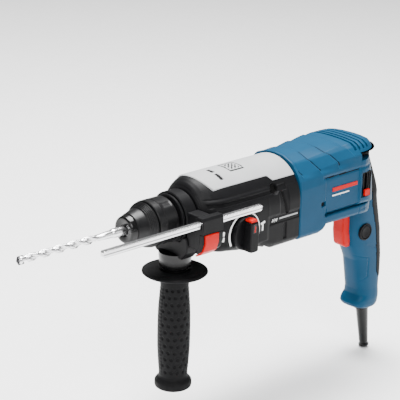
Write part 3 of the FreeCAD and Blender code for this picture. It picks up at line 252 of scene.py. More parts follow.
def resample(profile, step):
    """The same profile with extra points so that no stretch is longer than step."""
    fine = [profile[0]]
    for start, end in zip(profile, profile[1:]):
        count = max(1, int(math.dist(start, end) / step))
        for index in range(1, count + 1):
            share = index / count
            fine.append((start[0] + (end[0] - start[0]) * share,
                         start[1] + (end[1] - start[1]) * share))
    return fine


def rectangle(left, right, low, high):
    """Corners of an upright rectangle, for an outline."""
    return [(left, low), (right, low), (right, high), (left, high)]


def prism(name, outline, low, high, across, finish, body, replaced=(), bevel=1.0):
    """An outline pushed along an axis, with its edges rounded by a bevel."""
    count = len(outline)
    points = []
    for level in (low, high):
        for one, two in outline:
            spot = {"X": (level, one, two), "Y": (one, level, two), "Z": (one, two, level)}
            points.append(spot[across])
    faces = [[index, (index + 1) % count, count + (index + 1) % count, count + index]
             for index in range(count)]
    faces += [list(range(count)), list(range(count, 2 * count))]
    item = piece(name, points, faces, finish, body, replaced, sharp=180.0)
    rounding = item.modifiers.new("rounding", "BEVEL")
    rounding.width = bevel * MM
    rounding.segments = 4
    rounding.limit_method = "ANGLE"
    rounding.angle_limit = math.radians(25.0)
    rounding.harden_normals = True
    return item


def ribbon(name, path, widths, level, finish, body, thickness=0.25):
    """A flat printed stroke on a plane y = level, along (x, z) points."""
    path = np.asarray(path, float)
    heading = np.gradient(path, axis=0)
    heading /= np.linalg.norm(heading, axis=1)[:, None]
    side = np.stack([-heading[:, 1], heading[:, 0]], axis=1) * np.asarray(widths)[:, None] * 0.5
    rows = []
    for spot, shift in zip(path, side):
        left, right = spot - shift, spot + shift
        rows += [(left[0], level, left[1]), (right[0], level, right[1]),
                 (right[0], level + thickness, right[1]), (left[0], level + thickness, left[1])]
    return piece(name, rows, grid_faces(len(path), 4), finish, body, sharp=20.0)


# ---------------------------------------------------------------- housings

def divide(corners, counts):
    """The corners with each stretch between them split into its own count of equal parts."""
    fine = [corners[0]]
    for (start, end), count in zip(zip(corners, corners[1:]), counts):
        for share in np.arange(1, count + 1) / count:
            fine.append((start[0] + (end[0] - start[0]) * share,
                         start[1] + (end[1] - start[1]) * share))
    return np.array(fine)


def mirrored(right):
    """A closed section from its right-hand half, which starts and ends on the centre plane."""
    return np.concatenate([right, right[-2:0:-1] * np.array([-1.0, 1.0])])


def softened(loop):
    """The loop with each point moved to the mean of itself and its two neighbours."""
    return sum(np.roll(loop, shift, axis=0) for shift in (-1, 0, 1)) / 3.0


def oval(middle, depth, half, x_power, y_power, columns):
    """X and Y of a rounded rectangle's outline; low powers make its corners squarer."""
    turn = np.linspace(0.0, 2.0 * math.pi, columns, endpoint=False)
    cos, sin = np.cos(turn), np.sin(turn)
    return (middle + depth * np.sign(cos) * np.abs(cos) ** x_power,
            half * np.sign(sin) * np.abs(sin) ** y_power)


def shell(name, stations, section, relief, finish, body, replaced=(), shade_depth=1.6):
    """A housing lofted along X. relief(x, y, z) is how far the skin is sunk, in millimetres. Faces
    sunk further than the shade depth get the near-black finish as painted shade in the recess.
    """
    loops = np.array([section(place) for place in stations])
    x = np.repeat(np.asarray(stations)[:, None], loops.shape[1], axis=1)
    y, z = loops[..., 0], loops[..., 1]
    ahead = np.roll(loops, -1, axis=1) - np.roll(loops, 1, axis=1)
    size = np.maximum(np.linalg.norm(ahead, axis=-1), 1e-6)
    outward = np.stack([ahead[..., 1], -ahead[..., 0]], axis=-1) / size[..., None]
    sunk = relief(x, y, z)
    moved = loops - outward * sunk[..., None]
    points = np.stack([x, moved[..., 0], moved[..., 1]], axis=-1).reshape(-1, 3)
    faces = grid_faces(len(stations), loops.shape[1])
    corner = sunk.reshape(-1)
    quads = np.array(faces[:-2])
    # Faces sunk past the shade depth are marked for the near-black painted shade.
    marks = (corner[quads].min(axis=1) > shade_depth).astype(int).tolist() + [0, 0]
    return piece(name, points, faces, [finish, SHADE_AND_PRINT], body, replaced, marks, sharp=40.0)


def gear_section(place):
    """Black front housing: half-round top on straight sides, tapering to the neck."""
    half = follow([(78.0, 29.5), (84.0, 33.6), (90.0, 37.0), (96.0, 39.6), (102.0, 41.0),
                   (108.0, HALF_WIDTH)], place)
    top = follow([(78.0, 30.0), (80.0, 32.6), (84.0, 35.4), (90.0, 37.3), (95.0, 37.5)], place)
    floor = follow([(78.0, -30.5), (90.0, -34.5), (120.0, -39.5), (150.0, -42.5),
                    (160.0, -46.0), (170.0, -48.5)], place)
    rise = top - ARCH_CENTRE
    corner = 6.0
    base = list(zip(np.linspace(0.0, half - corner, BASE_POINTS), np.full(BASE_POINTS, floor)))
    knee = [(half - 2.0, floor + 1.3)]
    side = list(zip(np.full(SIDE_POINTS, half),
                    np.linspace(floor + corner, ARCH_CENTRE, SIDE_POINTS)))
    arc = [(half * math.cos(turn), ARCH_CENTRE + rise * math.sin(turn))
           for turn in np.linspace(0.0, math.pi / 2.0, ARC_POINTS)[1:]]
    return softened(mirrored(np.array(base + knee + side + arc)))


def knob_centre():
    """X and Z of the mode knob's axle."""
    low, high = limits("mode_knob")
    return 0.5 * (low[0] + high[0]), 0.5 * (low[2] + high[2])


def gear_relief(x, y, z):
    """Ridges, panel edges and pockets moulded into the sides of the gear housing."""
    sides = ease(np.abs(y), 24.0, 27.0)
    sunk = 0.6 * band(z, 19.0, 19.8) * band(x, 82.0, 166.0, 2.0)
    sunk = sunk - 0.5 * band(z, 15.6, 17.8) * band(x, 84.0, 164.0, 2.0)
    sunk = sunk + 1.5 * band(z, 11.6, 15.0) * band(x, 86.0, 172.0, 3.0)
    panel_edge = 181.0 - (z - 12.0) * 0.28
    sunk = sunk - 0.6 * band(z, -36.0, 9.6) * band(x, 92.0, 160.0, 2.0)
    sunk = sunk - 0.6 * band(z, -11.0, 9.6) * ease(x, 158.0, 161.0) * (1.0 - ease(x, 176.0, 177.5))
    sunk = sunk + 1.8 * band(x - panel_edge, -1.8, 1.8) * band(z, -13.0, 12.0)
    sunk = sunk + 0.8 * band(z, -21.0, -12.6) * band(x, 162.0, 206.0)
    sunk = sunk + 1.3 * band(x, 183.0, 187.5) * band(z, -40.0, -22.5)
    sunk = sunk - 0.5 * band(x, 190.0, 206.4) * band(z, -11.0, 16.0)
    sunk = sunk + 4.0 * (1.0 - ease(np.hypot(x - 172.0, z - 15.6), 4.8, 5.8))
    sunk = sunk + 1.2 * band(x, 176.5, 189.0) * band(z, 12.2, 18.4)
    knob_x, knob_z = knob_centre()
    reach = np.hypot(x - knob_x, z - knob_z)
    knob_side = 1.0 - ease(y, -30.0, -28.0)
    sunk = sunk + knob_side * 0.9 * (1.0 - ease(reach, 18.2, 19.0))
    sunk = sides * sunk
    under = 1.0 - ease(z, -42.0, -40.0)
    notch = band(x, 158.5, 167.0) * band(np.abs(y), 26.0, 37.0, 1.0)
    sunk = sunk + 3.0 * under * notch
    # Where this sinking passes the shade depth (the screw hole, the notch underneath and the
    # groove at the rear edge), the shell paints near-black shade.
    return sunk + 2.2 * ease(x, 206.0, 206.7)


def gear_housing():
    """Black housing, its neck behind the locking sleeve and the lip round the neck."""
    low, high = limits("gear_housing")
    stations = np.unique(np.concatenate([np.arange(78.0, high[0], 0.7), [high[0]]]))
    shell("gear_case", stations, gear_section, gear_relief, BLACK, "housing",
          ("gear_housing",))
    neck = [(low[0], 18.6), (low[0], 24.2), (low[0] + 0.6, 24.8), (low[0] + 2.2, 24.8),
            (low[0] + 2.8, 24.2), (low[0] + 2.8, 21.8), (79.5, 21.8), (79.5, 18.6)]
    lathe("gear_case_neck", neck, BLACK, "housing")
    hood = resample([(76.2, 24.6), (76.8, 27.4), (78.2, 29.4), (80.5, 30.2), (80.5, 24.6)], 0.8)
    lathe("gear_case_lip", hood, BLACK, "housing")


def top_cover():
    """Light grey cover: a thin curved strip with two slots and a framed plain plate."""
    low, high = limits("top_cover")
    rows, columns = 172, 120
    share_x = np.linspace(0.0, 1.0, rows)[:, None]
    share = np.linspace(-1.0, 1.0, columns)[None, :]
    guess = low[0] + (high[0] - low[0]) * share_x
    reach = 40.8 + 9.4 * ease(guess, 166.5, 173.5)
    front = low[0] + 7.0 * share ** 2
    x = front + (high[0] - 0.5 - front) * share_x
    angle = np.radians(reach) * share
    edge = np.minimum(1.0 - np.abs(share), np.minimum(share_x, 1.0 - share_x) * 2.0)
    lift = 0.55 * ease(edge, 0.0, 0.03) - 0.7 * (1.0 - ease(edge, 0.0, 0.012))
    y = np.sin(angle) * HALF_WIDTH
    slots = band(x, 112.2, 116.2, 0.3) * (band(y, -5.5, 3.5, 0.4) + band(y, -19.0, -9.5, 0.4))
    frame_x, frame_y = np.abs(x - 142.5), np.abs(y + 2.0)
    square = np.maximum(frame_x, frame_y)
    lift = lift - 2.4 * slots - 0.25 * band(square, 8.6, 10.0, 0.3)
    lift = lift - 0.3 * band(x, 171.0, 172.0, 0.5) * band(np.abs(y), 8.0, 40.0, 2.0)
    radius = HALF_WIDTH + lift
    points = np.stack([x, np.sin(angle) * radius, ARCH_CENTRE + np.cos(angle) * radius], -1)
    inner = np.stack([x, np.sin(angle) * 40.0, ARCH_CENTRE + np.cos(angle) * 40.0], -1)
    outer_faces = grid_faces(rows, columns, closed=False, caps=False)
    count = rows * columns
    inner_faces = [[number + count for number in face] for face in outer_faces]
    rim = ([column for column in range(columns)]
           + [row * columns + columns - 1 for row in range(1, rows)]
           + [(rows - 1) * columns + column for column in range(columns - 2, -1, -1)]
           + [row * columns for row in range(rows - 2, 0, -1)])
    rim_faces = [[one, two, two + count, one + count]
                 for one, two in zip(rim, rim[1:] + rim[:1])]
    quads = np.array(outer_faces)
    cells = (np.floor((x - 133.0) / 1.6) + 2.0 * np.floor((y + 12.0) / 1.6)) % 3.0
    dark = ((square > 8.0) & (square < 10.2)) | ((square < 7.2) & (cells < 1.5))
    print_mark = dark.reshape(-1)[quads].all(axis=1)
    # The slot floors get the near-black finish as painted shade; the frame and the cells are dark
    # print.
    slot_shade_mark = (slots > 0.5).reshape(-1)[quads].all(axis=1)
    marks = (print_mark | slot_shade_mark).astype(int).tolist()
    marks += [0] * (len(inner_faces) + len(rim_faces))
    both = np.concatenate([points.reshape(-1, 3), inner.reshape(-1, 3)])
    piece("cover_skin", both, outer_faces + inner_faces + rim_faces, [GREY, SHADE_AND_PRINT], "housing",
          ("top_cover",), marks, sharp=40.0)


# Motor housing: where it starts, where its low front lobe ends, and where the crown ends; then
# the pocket under the crown, the raised floor behind the lobe and the two shoulder outlines.
MOTOR_FRONT, LOBE_REAR, CROWN_REAR = 207.6, 249.0, 344.0
POCKET_LOW, POCKET_HIGH, POCKET_FRONT, ARM_CEILING = 20.6, 29.4, 302.5, -30.5
ROUND_SHOULDER = [(41.5, -4.0), (41.3, 6.0), (39.6, 14.5), (36.9, 20.2), (28.0, 30.6),
                  (25.6, 32.2), (13.0, 36.8), (0.0, 38.0)]
SQUARE_SHOULDER = [(41.5, -4.0), (41.3, 8.0), (40.6, 19.0), (39.6, 27.0), (33.0, 35.2),
                   (27.0, 38.4), (13.0, 39.7), (0.0, 40.0)]
SHOULDER_STEPS = (15, 13, 11, 20, 6, 20, 20)
TOP_HEIGHT, TOP_GROWTH = 42.0, 2.0
RIB_PITCH, RIB_DEPTH = 25.5, 1.85
VENT_FRONT, VENT_PITCH, VENT_WIDTH, VENT_COUNT = 295.7, 6.6, 2.4, 4


def motor_top(place):
    """Height of the motor housing's roof on the centre plane."""
    return follow([(318.0, 40.0), (326.0, 39.0), (333.0, 36.6), (338.0, 33.4), (341.5, 30.6),
                   (344.0, 28.6)], place)


def rear_round(place, start, reach):
    """Half width of the rounded rear, an ellipse that starts at start and ends after reach."""
    share = min(max((place - start) / reach, 0.0), 0.995)
    return HALF_WIDTH * math.sqrt(1.0 - share * share)


def motor_section(place):
    """Blue motor housing: round at the front, squarer at the crown, raised floor behind."""
    half = rear_round(place, 307.0, 37.5)
    top = float(motor_top(place))
    floor = float(follow([(LOBE_REAR - 9.0, -49.0), (LOBE_REAR - 4.0, -47.6),
                          (LOBE_REAR - 1.0, -44.5), (LOBE_REAR, -41.0),
                          (LOBE_REAR + 0.05, ARM_CEILING)], place))
    blend = float(ease(place, 222.0, 288.0))
    wide, tall = half / HALF_WIDTH, (top - ARCH_CENTRE) / (TOP_HEIGHT + TOP_GROWTH * blend)
    corner = 5.0
    base = np.linspace(0.0, max(half - corner, 0.5), BASE_POINTS)
    side = np.linspace(floor + corner, ARCH_CENTRE, SIDE_POINTS)
    lower = (list(zip(base, np.full(BASE_POINTS, floor)))
             + [(max(half - 1.4, 0.6), floor + 1.4)]
             + list(zip(np.full(SIDE_POINTS, half), side)))
    shoulder = [(one[0] + (two[0] - one[0]) * blend, one[1] + (two[1] - one[1]) * blend)
                for one, two in zip(ROUND_SHOULDER, SQUARE_SHOULDER)]
    upper = divide(shoulder, SHOULDER_STEPS)[1:] - (0.0, ARCH_CENTRE)
    upper = upper * (wide, tall) + (0.0, ARCH_CENTRE)
    return softened(mirrored(np.concatenate([lower, upper])))


def block_section(place):
    """Lower rear block: its rear leans forward with height, so each height has its own end."""
    full_width_end = 306.9
    loop = motor_section(min(place, full_width_end))
    across, height = loop[:, 0], loop[:, 1]
    lean = np.interp(height, [-32.0, -8.0, 1.0, 10.0, 20.0], [0.0, -1.8, -3.0, -5.5, -8.0])
    limit = np.array([rear_round(place - shift, 308.5, 36.0) for shift in lean])
    across = np.sign(across) * np.minimum(np.abs(across), limit)
    return np.stack([across, np.minimum(height, POCKET_LOW)], axis=1)


def motor_relief(x, y, z):
    """Stepped ribs on top, recessed side panels, vent window and wrap-around vent slots."""
    away = np.abs(y)
    sides = ease(away, 36.5, 38.5) * (1.0 - ease(z, 12.0, 14.0))
    upper = ease(z, 17.0, 22.0) * (1.0 - ease(x, 284.0, 294.0))
    slant = np.maximum(0.0, away - 26.5) * 0.85
    step = np.mod(x - 229.0 - slant, RIB_PITCH) / RIB_PITCH
    rib = RIB_DEPTH * (1.0 - step) ** 1.3 * ease(step, 0.0, 0.08)
    sunk = upper * rib * ease(x, 208.0, 212.0)
    sunk = sunk + 1.1 * sides * band(x, 246.0, 300.0, 0.7) * ease(z, -31.0, -30.0)
    sunk = sunk + 2.4 * sides * band(x, 247.0, 299.0, 0.5) * band(z, -30.6, -28.0, 0.4)
    crease = band(x, 243.0, 322.0, 1.0) * band(z, 11.0, 14.2, 1.2) * ease(away, 36.0, 38.0)
    sunk = sunk + 0.9 * crease
    sunk = sunk - 0.8 * sides * band(x, 300.2, 303.0, 0.5) * band(z, -24.0, 8.0)
    window = band(x, 304.4, 318.6, 0.35) * band(z, -21.6, 5.6, 0.35) * ease(away, 30.0, 34.0)
    sunk = sunk + 5.6 * window
    pocket = band(x, 240.0, 247.0, 0.4) * band(z, -18.5, -13.5, 0.4) * sides
    sunk = sunk + 2.6 * pocket * (1.0 - ease(y, -30.0, -28.0))
    for number in range(VENT_COUNT):
        start = VENT_FRONT + VENT_PITCH * number
        sunk = sunk + 3.2 * band(x, start, start + VENT_WIDTH, 0.3) * ease(z, 31.5, 32.2)
    # Sinkings past the shade depth (vent slots, the window, the side pocket, the ledge line and
    # the foot of each rib step) get near-black painted shade from the shell.
    return sunk + 0.7 * (1.0 - ease(x, 208.2, 209.0))


def motor_housing():
    """Blue housing: front case, hood over the pocket, leaning rear block and plain stripes."""
    even = np.arange(MOTOR_FRONT, POCKET_FRONT, 0.7)
    front = np.unique(np.concatenate([even, [LOBE_REAR, LOBE_REAR + 0.05, POCKET_FRONT]]))
    # Recess floors sunk past this depth get the near-black finish as painted shade.
    recess_shade_depth = 1.5
    shell("motor_case", front, motor_section, motor_relief, BLUE, "housing",
          ("motor_housing",), shade_depth=recess_shade_depth)

    def hood_section(place):
        """The housing's section cut off at the pocket's ceiling."""
        loop = motor_section(place)
        floor = POCKET_HIGH - 4.0 * float(ease(place, 340.0, 344.0))
        return np.stack([loop[:, 0], np.maximum(loop[:, 1], floor)], axis=1)

    step, block_rear, wall_rear = 0.6, 335.8, 325.5
    shell("motor_hood", np.arange(POCKET_FRONT - step, CROWN_REAR, step), hood_section,
          motor_relief, BLUE, "housing", shade_depth=recess_shade_depth)
    shell("motor_rear_block", np.arange(POCKET_FRONT - step, block_rear, step), block_section,
          motor_relief, BLUE, "housing", shade_depth=recess_shade_depth)
    wall = rectangle(POCKET_FRONT - 0.4, wall_rear, POCKET_LOW - 0.5, POCKET_HIGH + 0.5)
    prism("motor_pocket_wall", wall, -31.0, 31.0, "Y", RUBBER, "housing",
          bevel=2.0)
    level, thick = -HALF_WIDTH + 0.45, 0.6
    ribbon("motor_stripe_red", [(257.0, -3.0), (296.0, -3.0)], [4.2, 4.2], level, RED,
           "housing", thick)
    ribbon("motor_stripe_white", [(257.0, -9.5), (283.0, -9.5)], [1.2, 1.2], level, WHITE,
           "housing", thick)


# ---------------------------------------------------------------- rear handle

# Profiles of the grip as (height, place along X), with only the points where a profile bends:
# its front, its back and the front edge of the rubber strip; then its half width.
HANDLE_FRONT = [(20.0, 330.0), (-20.0, 336.5), (-31.0, 336.0), (-38.0, 326.0),
                (-45.0, 322.0), (-75.0, 322.0), (-94.0, 326.5), (-112.0, 335.5),
                (-150.0, 343.0), (-157.0, 342.5), (-163.5, 336.6), (-167.0, 335.2),
                (-170.0, 336.4), (-172.0, 339.0), (-173.6, 344.0)]
HANDLE_REAR = [(20.0, 342.0), (0.0, 350.5), (-20.0, 359.5), (-32.0, 363.8), (-80.0, 375.0),
               (-110.0, 377.5), (-130.0, 377.5), (-150.0, 376.3), (-160.0, 377.2),
               (-166.0, 377.0), (-170.0, 375.0), (-172.6, 371.5), (-173.6, 367.0)]
RUBBER_FRONT = [(20.0, 334.0), (-15.0, 344.0), (-49.0, 351.0), (-75.0, 358.5),
                (-90.0, 360.8), (-130.0, 364.2), (-136.5, 368.0)]
HANDLE_HALF = [(20.0, 14.5), (10.0, 16.5), (-10.0, 17.5), (-150.0, 17.4), (-162.0, 18.2),
               (-168.0, 17.8), (-171.5, 16.6), (-173.6, 14.0)]
HANDLE_HEAD, HANDLE_FOOT, RUBBER_FOOT = 19.9, -173.4, -137.0


def handle_skin(name, foot, back_only, proud, finish, replaced):
    """The pistol grip's skin down to a foot height, or only the rubber strip on its back."""
    columns = 128
    levels = np.linspace(HANDLE_HEAD, foot, max(12, int((HANDLE_HEAD - foot) / 0.8)))
    rows = []
    for level in levels:
        front, rear = follow(HANDLE_FRONT, level), follow(HANDLE_REAR, level)
        shrink = 1.0 - 0.05 * float(ease(level, 17.0, 20.0))
        middle, depth = 0.5 * (front + rear), 0.5 * (rear - front) * shrink + proud
        x, y = oval(middle, depth, follow(HANDLE_HALF, level) * shrink + proud, 0.71, 0.71,
                    columns)
        drop = 0.09 * float(ease(-level, 150.0, 172.0))
        rows.append(np.stack([x, y, level - drop * (x - middle)], axis=-1))
    points = np.array(rows)
    groove = handle_grooves(points[..., 0], points[..., 1], points[..., 2])
    points[..., 1] -= np.sign(points[..., 1]) * groove
    flat = points.reshape(-1, 3)
    faces = grid_faces(len(levels), columns)
    if back_only:
        inside = flat[:, 0] > follow(RUBBER_FRONT, flat[:, 2]) - 0.2
        faces = [face for face in faces if len(face) == 4 and all(inside[i] for i in face)]
    item = piece(name, flat, faces, finish, "handle", replaced)
    if back_only:
        body = item.modifiers.new("body", "SOLIDIFY")
        body.thickness = 1.6 * MM
        body.offset = -1.0


def handle_grooves(x, y, z):
    """Panel seams on both sides of the grip."""
    top = follow([(306.0, -93.0), (318.0, -98.8), (332.0, -104.5), (348.6, -109.4)], x)
    foot = follow([(306.0, -126.0), (315.0, -134.0), (325.0, -141.2), (337.0, -141.8),
                   (350.8, -132.0)], x)
    lines = band(z - top, -0.6, 0.6, 0.4) * (x < 349.6)
    lines = lines + band(z - foot, -0.6, 0.6, 0.4) * (x < 351.0)
    lines = lines + band(x, 348.8, 350.2, 0.4) * band(z, -133.0, -109.4)
    lines = lines + band(z + 0.5 * (x - 347.0), -94.0, -93.0, 0.4) * band(x, 347.0, 360.0, 1.0)
    return 0.6 * np.clip(lines, 0.0, 1.0) * ease(np.abs(y), 6.0, 10.0)


def rear_handle():
    """Grip, rubber strip, forward arm under the motor housing and the lock button."""
    handle_skin("grip_body", HANDLE_FOOT, False, 0.0, BLUE, ("rear_handle",))
    handle_skin("grip_back_rubber", RUBBER_FOOT, True, 0.45, RUBBER,
                ("grip_rubber",))
    arm_front, arm_rear = limits("rear_handle")[0][0], 350.0
    stations = np.arange(arm_front, arm_rear, 0.9)

    def arm_section(place):
        """Flat arm that narrows to the grip."""
        half = follow([(arm_front, 39.4), (306.0, 39.4), (314.0, 38.4), (322.0, 35.5),
                       (330.0, 29.6), (338.0, 22.5), (346.0, 17.0), (arm_rear, 15.5)], place)
        top = follow([(arm_front, -31.2), (336.0, -31.2), (344.0, -29.5), (arm_rear, -29.5)],
                     place)
        floor = follow([(arm_front, -41.8), (300.0, -42.2), (318.0, -43.6), (330.0, -46.5),
                        (342.0, -49.0), (arm_rear, -50.0)], place)
        corners = [(0.0, floor), (half - 4.0, floor), (half - 1.2, floor + 1.2),
                   (half, floor + 4.0), (half, top - 1.6), (half - 0.5, top - 0.5),
                   (half - 1.6, top), (0.0, top)]
        return mirrored(divide(corners, (34, 4, 4, 14, 2, 2, 34)))

    def arm_relief(x, y, z):
        """An upright seam and a short level mark on each side."""
        seam = band(x, 302.0, 302.8, 0.3) * band(z, -41.0, -33.0)
        mark = band(x, 306.0, 316.0, 0.5) * band(z, -36.4, -35.8, 0.3)
        return (0.4 * seam + 0.35 * mark) * ease(np.abs(y), 36.0, 38.0)

    shell("handle_arm", stations, arm_section, arm_relief, BLUE, "handle")
    lock_low, lock_high = limits("lock_button")
    spot = 0.5 * (lock_low + lock_high)
    bezel = [(-16.0, 7.9), (-18.4, 7.9), (-18.9, 8.3), (-18.9, 9.2), (-18.4, 9.8), (-16.0, 9.8)]
    lathe("lock_bezel", bezel, BLACK, "handle", axis="Y",
          centre=(spot[0], 0.0, spot[2]), steps=72)
    cap = [(-13.9, 0.0), (-13.9, 7.5), (-18.0, 7.5), (-18.6, 7.0), (-18.8, 6.2), (-18.3, 4.5),
           (-18.1, 2.0), (-18.0, 0.01)]
    lathe("lock_cap", cap, RUBBER, "lock_button", ("lock_button",), axis="Y",
          centre=(spot[0], 0.0, spot[2]), steps=72)


def trigger():
    """Red trigger with a rounded, slightly hollow finger face."""
    low, high = limits("trigger")
    columns, levels = 96, 60
    hollow = [(-46.0, 0.9), (-55.0, 0.2), (-64.0, 0.6), (-74.0, 0.4), (-83.0, 1.6),
              (-89.0, 3.2), (-91.0, 4.6), (-92.5, 7.0)]
    rows = []
    for level in np.linspace(high[2], low[2], levels):
        front, rear = low[0] + follow(hollow, level), high[0]
        half = high[1] * (1.0 - 0.06 * float(ease(-level, 88.0, 92.5)))
        x, y = oval(0.5 * (front + rear), 0.5 * (rear - front), half, 0.3, 0.3, columns)
        tilt = 0.06 * float(ease(-level, 80.0, 92.0))
        rows.append(np.stack([x, y, level + tilt * (x - rear)], axis=-1))
    piece("trigger_blade", np.array(rows).reshape(-1, 3), grid_faces(levels, columns), RED,
          "trigger", ("trigger",))


def bellows():
    """Folded rubber gaiter between the crown and the head of the handle."""
    low, high = limits("handle_bellows")
    columns, levels, fold_pitch = 96, 40, 2.8
    rows = []
    for level in np.linspace(low[2], high[2], levels):
        fold = 0.9 * math.cos((level - low[2]) / fold_pitch * 2.0 * math.pi)
        x, y = oval(0.5 * (low[0] + high[0]), 5.6 + fold, 14.6 + fold, 0.7, 0.6, columns)
        rows.append(np.stack([x, y, np.full(columns, level)], axis=-1))
    piece("bellows_folds", np.array(rows).reshape(-1, 3), grid_faces(levels, columns), RUBBER,
          "housing", ("handle_bellows",), sharp=60.0)


# ---------------------------------------------------------------- tool end

def drill_bit():
    """Two-flute masonry bit: turning lands, carbide head and keyed shank."""
    low, high = limits("drill_bit")
    tip = low[0]
    columns = 72
    turn = np.linspace(0.0, 2.0 * math.pi, columns, endpoint=False)
    lead, flute_start, flute_end = 34.0, tip + 7.0, -18.0
    rows = []
    for place in np.arange(tip + 2.2, -15.0, 0.6):
        twist = min(place, -34.0) * 2.0 * math.pi / lead
        open_up = float(ease(place, flute_start - 3.0, flute_start + 2.0)
                        * (1.0 - ease(place, -46.0, flute_end)))
        wave = np.cos(2.0 * (turn - twist))
        land = ease(wave, -0.35, 0.72)
        core = 0.46 + 0.54 * land
        radius = 4.0 * (1.0 - open_up * (1.0 - core))
        head = 1.0 - 0.35 * float(1.0 - ease(place, tip + 1.6, tip + 4.4))
        radius = radius * head
        rows.append(np.stack([np.full(columns, place), radius * np.cos(turn),
                              radius * np.sin(turn)], axis=-1))
    count = len(rows)
    piece("bit_flutes", np.array(rows).reshape(-1, 3), grid_faces(count, columns), BRIGHT, "bit",
          ("drill_bit",), sharp=55.0)
    start = (tip + 1.2) * 2.0 * math.pi / lead
    for number in range(2):
        lean = start + number * math.pi / 2.0
        across = np.array([0.0, math.cos(lean), math.sin(lean)])
        thick = np.array([0.0, -math.sin(lean), math.cos(lean)])
        reach, half = (4.1, 0.75) if number == 0 else (3.5, 0.6)
        outline = [(tip + 8.0, -reach), (tip + 2.0 + number, -reach), (tip + number * 0.6, 0.0),
                   (tip + 2.0 + number, reach), (tip + 8.0, reach)]
        points = [np.array([x, 0.0, 0.0]) + across * out + thick * side
                  for side in (-half, half) for x, out in outline]
        faces = [[i, (i + 1) % 5, 5 + (i + 1) % 5, 5 + i] for i in range(5)]
        faces += [list(range(5)), list(range(5, 10))]
        piece(f"bit_carbide_{number + 1}", points, faces, CARBIDE, "bit",
              sharp=20.0)
    shank = [(-16.2, 0.0), (-16.2, 3.7), (-15.6, 4.2), (-13.6, 4.95), (high[0] - 0.8, 4.95),
             (high[0], 4.2), (high[0], 0.0)]

    def slots(place, around):
        """Two open drive slots and two closed ball grooves in the shank."""
        keyed = ease(place, 9.0, 11.0)
        keys = band(np.abs(np.cos(around)) * 5.0, -1.0, 1.6, 0.15) * keyed
        balls = band(place, 16.5, 36.5, 1.0) * band(np.abs(np.sin(around)) * 5.0, -1.0, 2.4, 0.2)
        return 1.3 * keys + 0.75 * balls

    lathe("bit_shank", resample(shank, 1.5), BRIGHT, "bit", shape=slots)


def tool_end():
    """Dust cap and locking sleeve, turned with their fine ribs and grooves."""
    rear = limits("dust_cap")[1][0]
    cap = [(2.4, 5.6), (1.4, 5.7), (0.9, 6.6), (0.35, 9.5), (0.1, 11.4), (0.25, 12.6),
           (0.8, 13.4), (1.8, 13.95), (3.4, 14.3), (rear - 0.7, 15.0), (rear - 0.2, 15.0),
           (rear, 14.6), (rear, 12.1), (2.5, 12.05)]
    lathe("dust_cap_skin", resample(cap, 0.6), GLOSS, "spindle", ("dust_cap",))
    low, high = limits("lock_sleeve")
    front, back = low[0], high[0]
    ribs = []
    for number in range(5):
        place = 19.3 + 1.35 * number
        radius = 18.9 + 0.62 * (place - 19.0)
        ribs += [(place, radius), (place + 0.35, radius + 0.45), (place + 0.85, radius + 0.5),
                 (place + 1.1, radius + 0.1)]
    sleeve = [(front + 2.4, 12.6), (front, 12.8), (front, 15.0), (front + 0.4, 15.5),
              (18.0, 18.3), (18.6, 18.2)] + ribs
    sleeve += [(26.3, 23.2), (26.9, 22.9), (27.1, 21.6), (28.3, 21.6), (28.6, 23.2),
               (29.4, 23.9), (36.0, 24.0), (36.3, 23.6), (36.9, 23.6), (37.2, 24.0),
               (back - 1.2, 23.9), (back - 0.3, 23.4), (back, 22.6), (back, 16.6),
               (22.0, 16.6), (12.0, 14.2), (front + 2.4, 14.0)]

    def flats(place, around):
        """Six shallow scoops for the fingers near the sleeve's rear."""
        scoop = ease(np.cos(6.0 * around), 0.55, 0.95)
        return 0.5 * scoop * band(place, 39.0, back - 2.5, 1.0)

    lathe("lock_sleeve_skin", resample(sleeve, 0.8), SLEEVE, "sleeve",
          ("lock_sleeve",), steps=144, shape=flats, sharp=28.0)


# ---------------------------------------------------------------- mode knob and print

def mode_knob():
    """Selector disc with a raised bar, red release button and a red pointer."""
    knob_x, knob_z = knob_centre()
    front = limits("mode_knob")[0][1]
    face = -46.6
    disc = [(-27.0, 0.0), (-27.0, 6.0), (-41.0, 6.0), (-41.3, 16.8), (-41.9, 17.7),
            (-45.4, 17.7), (-46.3, 17.1), (face, 16.0), (face, 14.6), (face + 0.7, 14.2),
            (face + 0.7, 0.01)]

    def ribbed(place, around):
        """Fine ribs round the disc's rim."""
        return 0.28 * (0.5 + 0.5 * np.cos(36.0 * around)) * band(place, -45.6, -42.0, 0.4)

    lathe("knob_disc", resample(disc, 0.8), BLACK, "knob", ("mode_knob",),
          centre=(knob_x, 0.0, knob_z), axis="Y", steps=180, shape=ribbed)
    bar = [(-6.0, -16.4), (-3.0, -17.3), (3.0, -17.3), (6.0, -16.4), (5.6, 0.0), (5.4, 14.6),
           (-5.4, 14.6), (-5.6, 0.0)]

    def on_knob(outline):
        return [(knob_x + one, knob_z + two) for one, two in outline]

    prism("knob_bar", on_knob(bar), front, -45.4, "Y", BLACK, "knob",
          bevel=1.3)
    release = [(-4.6, 15.0), (4.6, 15.0), (4.2, 17.4), (1.6, 18.0), (-1.6, 18.0), (-4.2, 17.4)]
    prism("knob_release", on_knob(release), front + 0.6, face - 0.2, "Y", RED, "knob_button",
          ("knob_button",), bevel=0.6)
    # Glossy black plate in the bar's slot: painted shade standing in for the shadowed inside of
    # the slot, round the red pointer.
    prism("knob_slot_shade", on_knob(rectangle(-2.2, 2.2, 3.6, 13.4)), front - 0.15, front + 0.6,
          "Y", GLOSS, "knob", bevel=0.3)
    pointer = [(-0.9, 4.6), (0.5, 4.6), (1.0, 11.0), (-0.1, 11.0)]
    prism("knob_pointer", on_knob(pointer), front - 0.4, front + 0.4, "Y", RED, "knob",
          bevel=0.1)


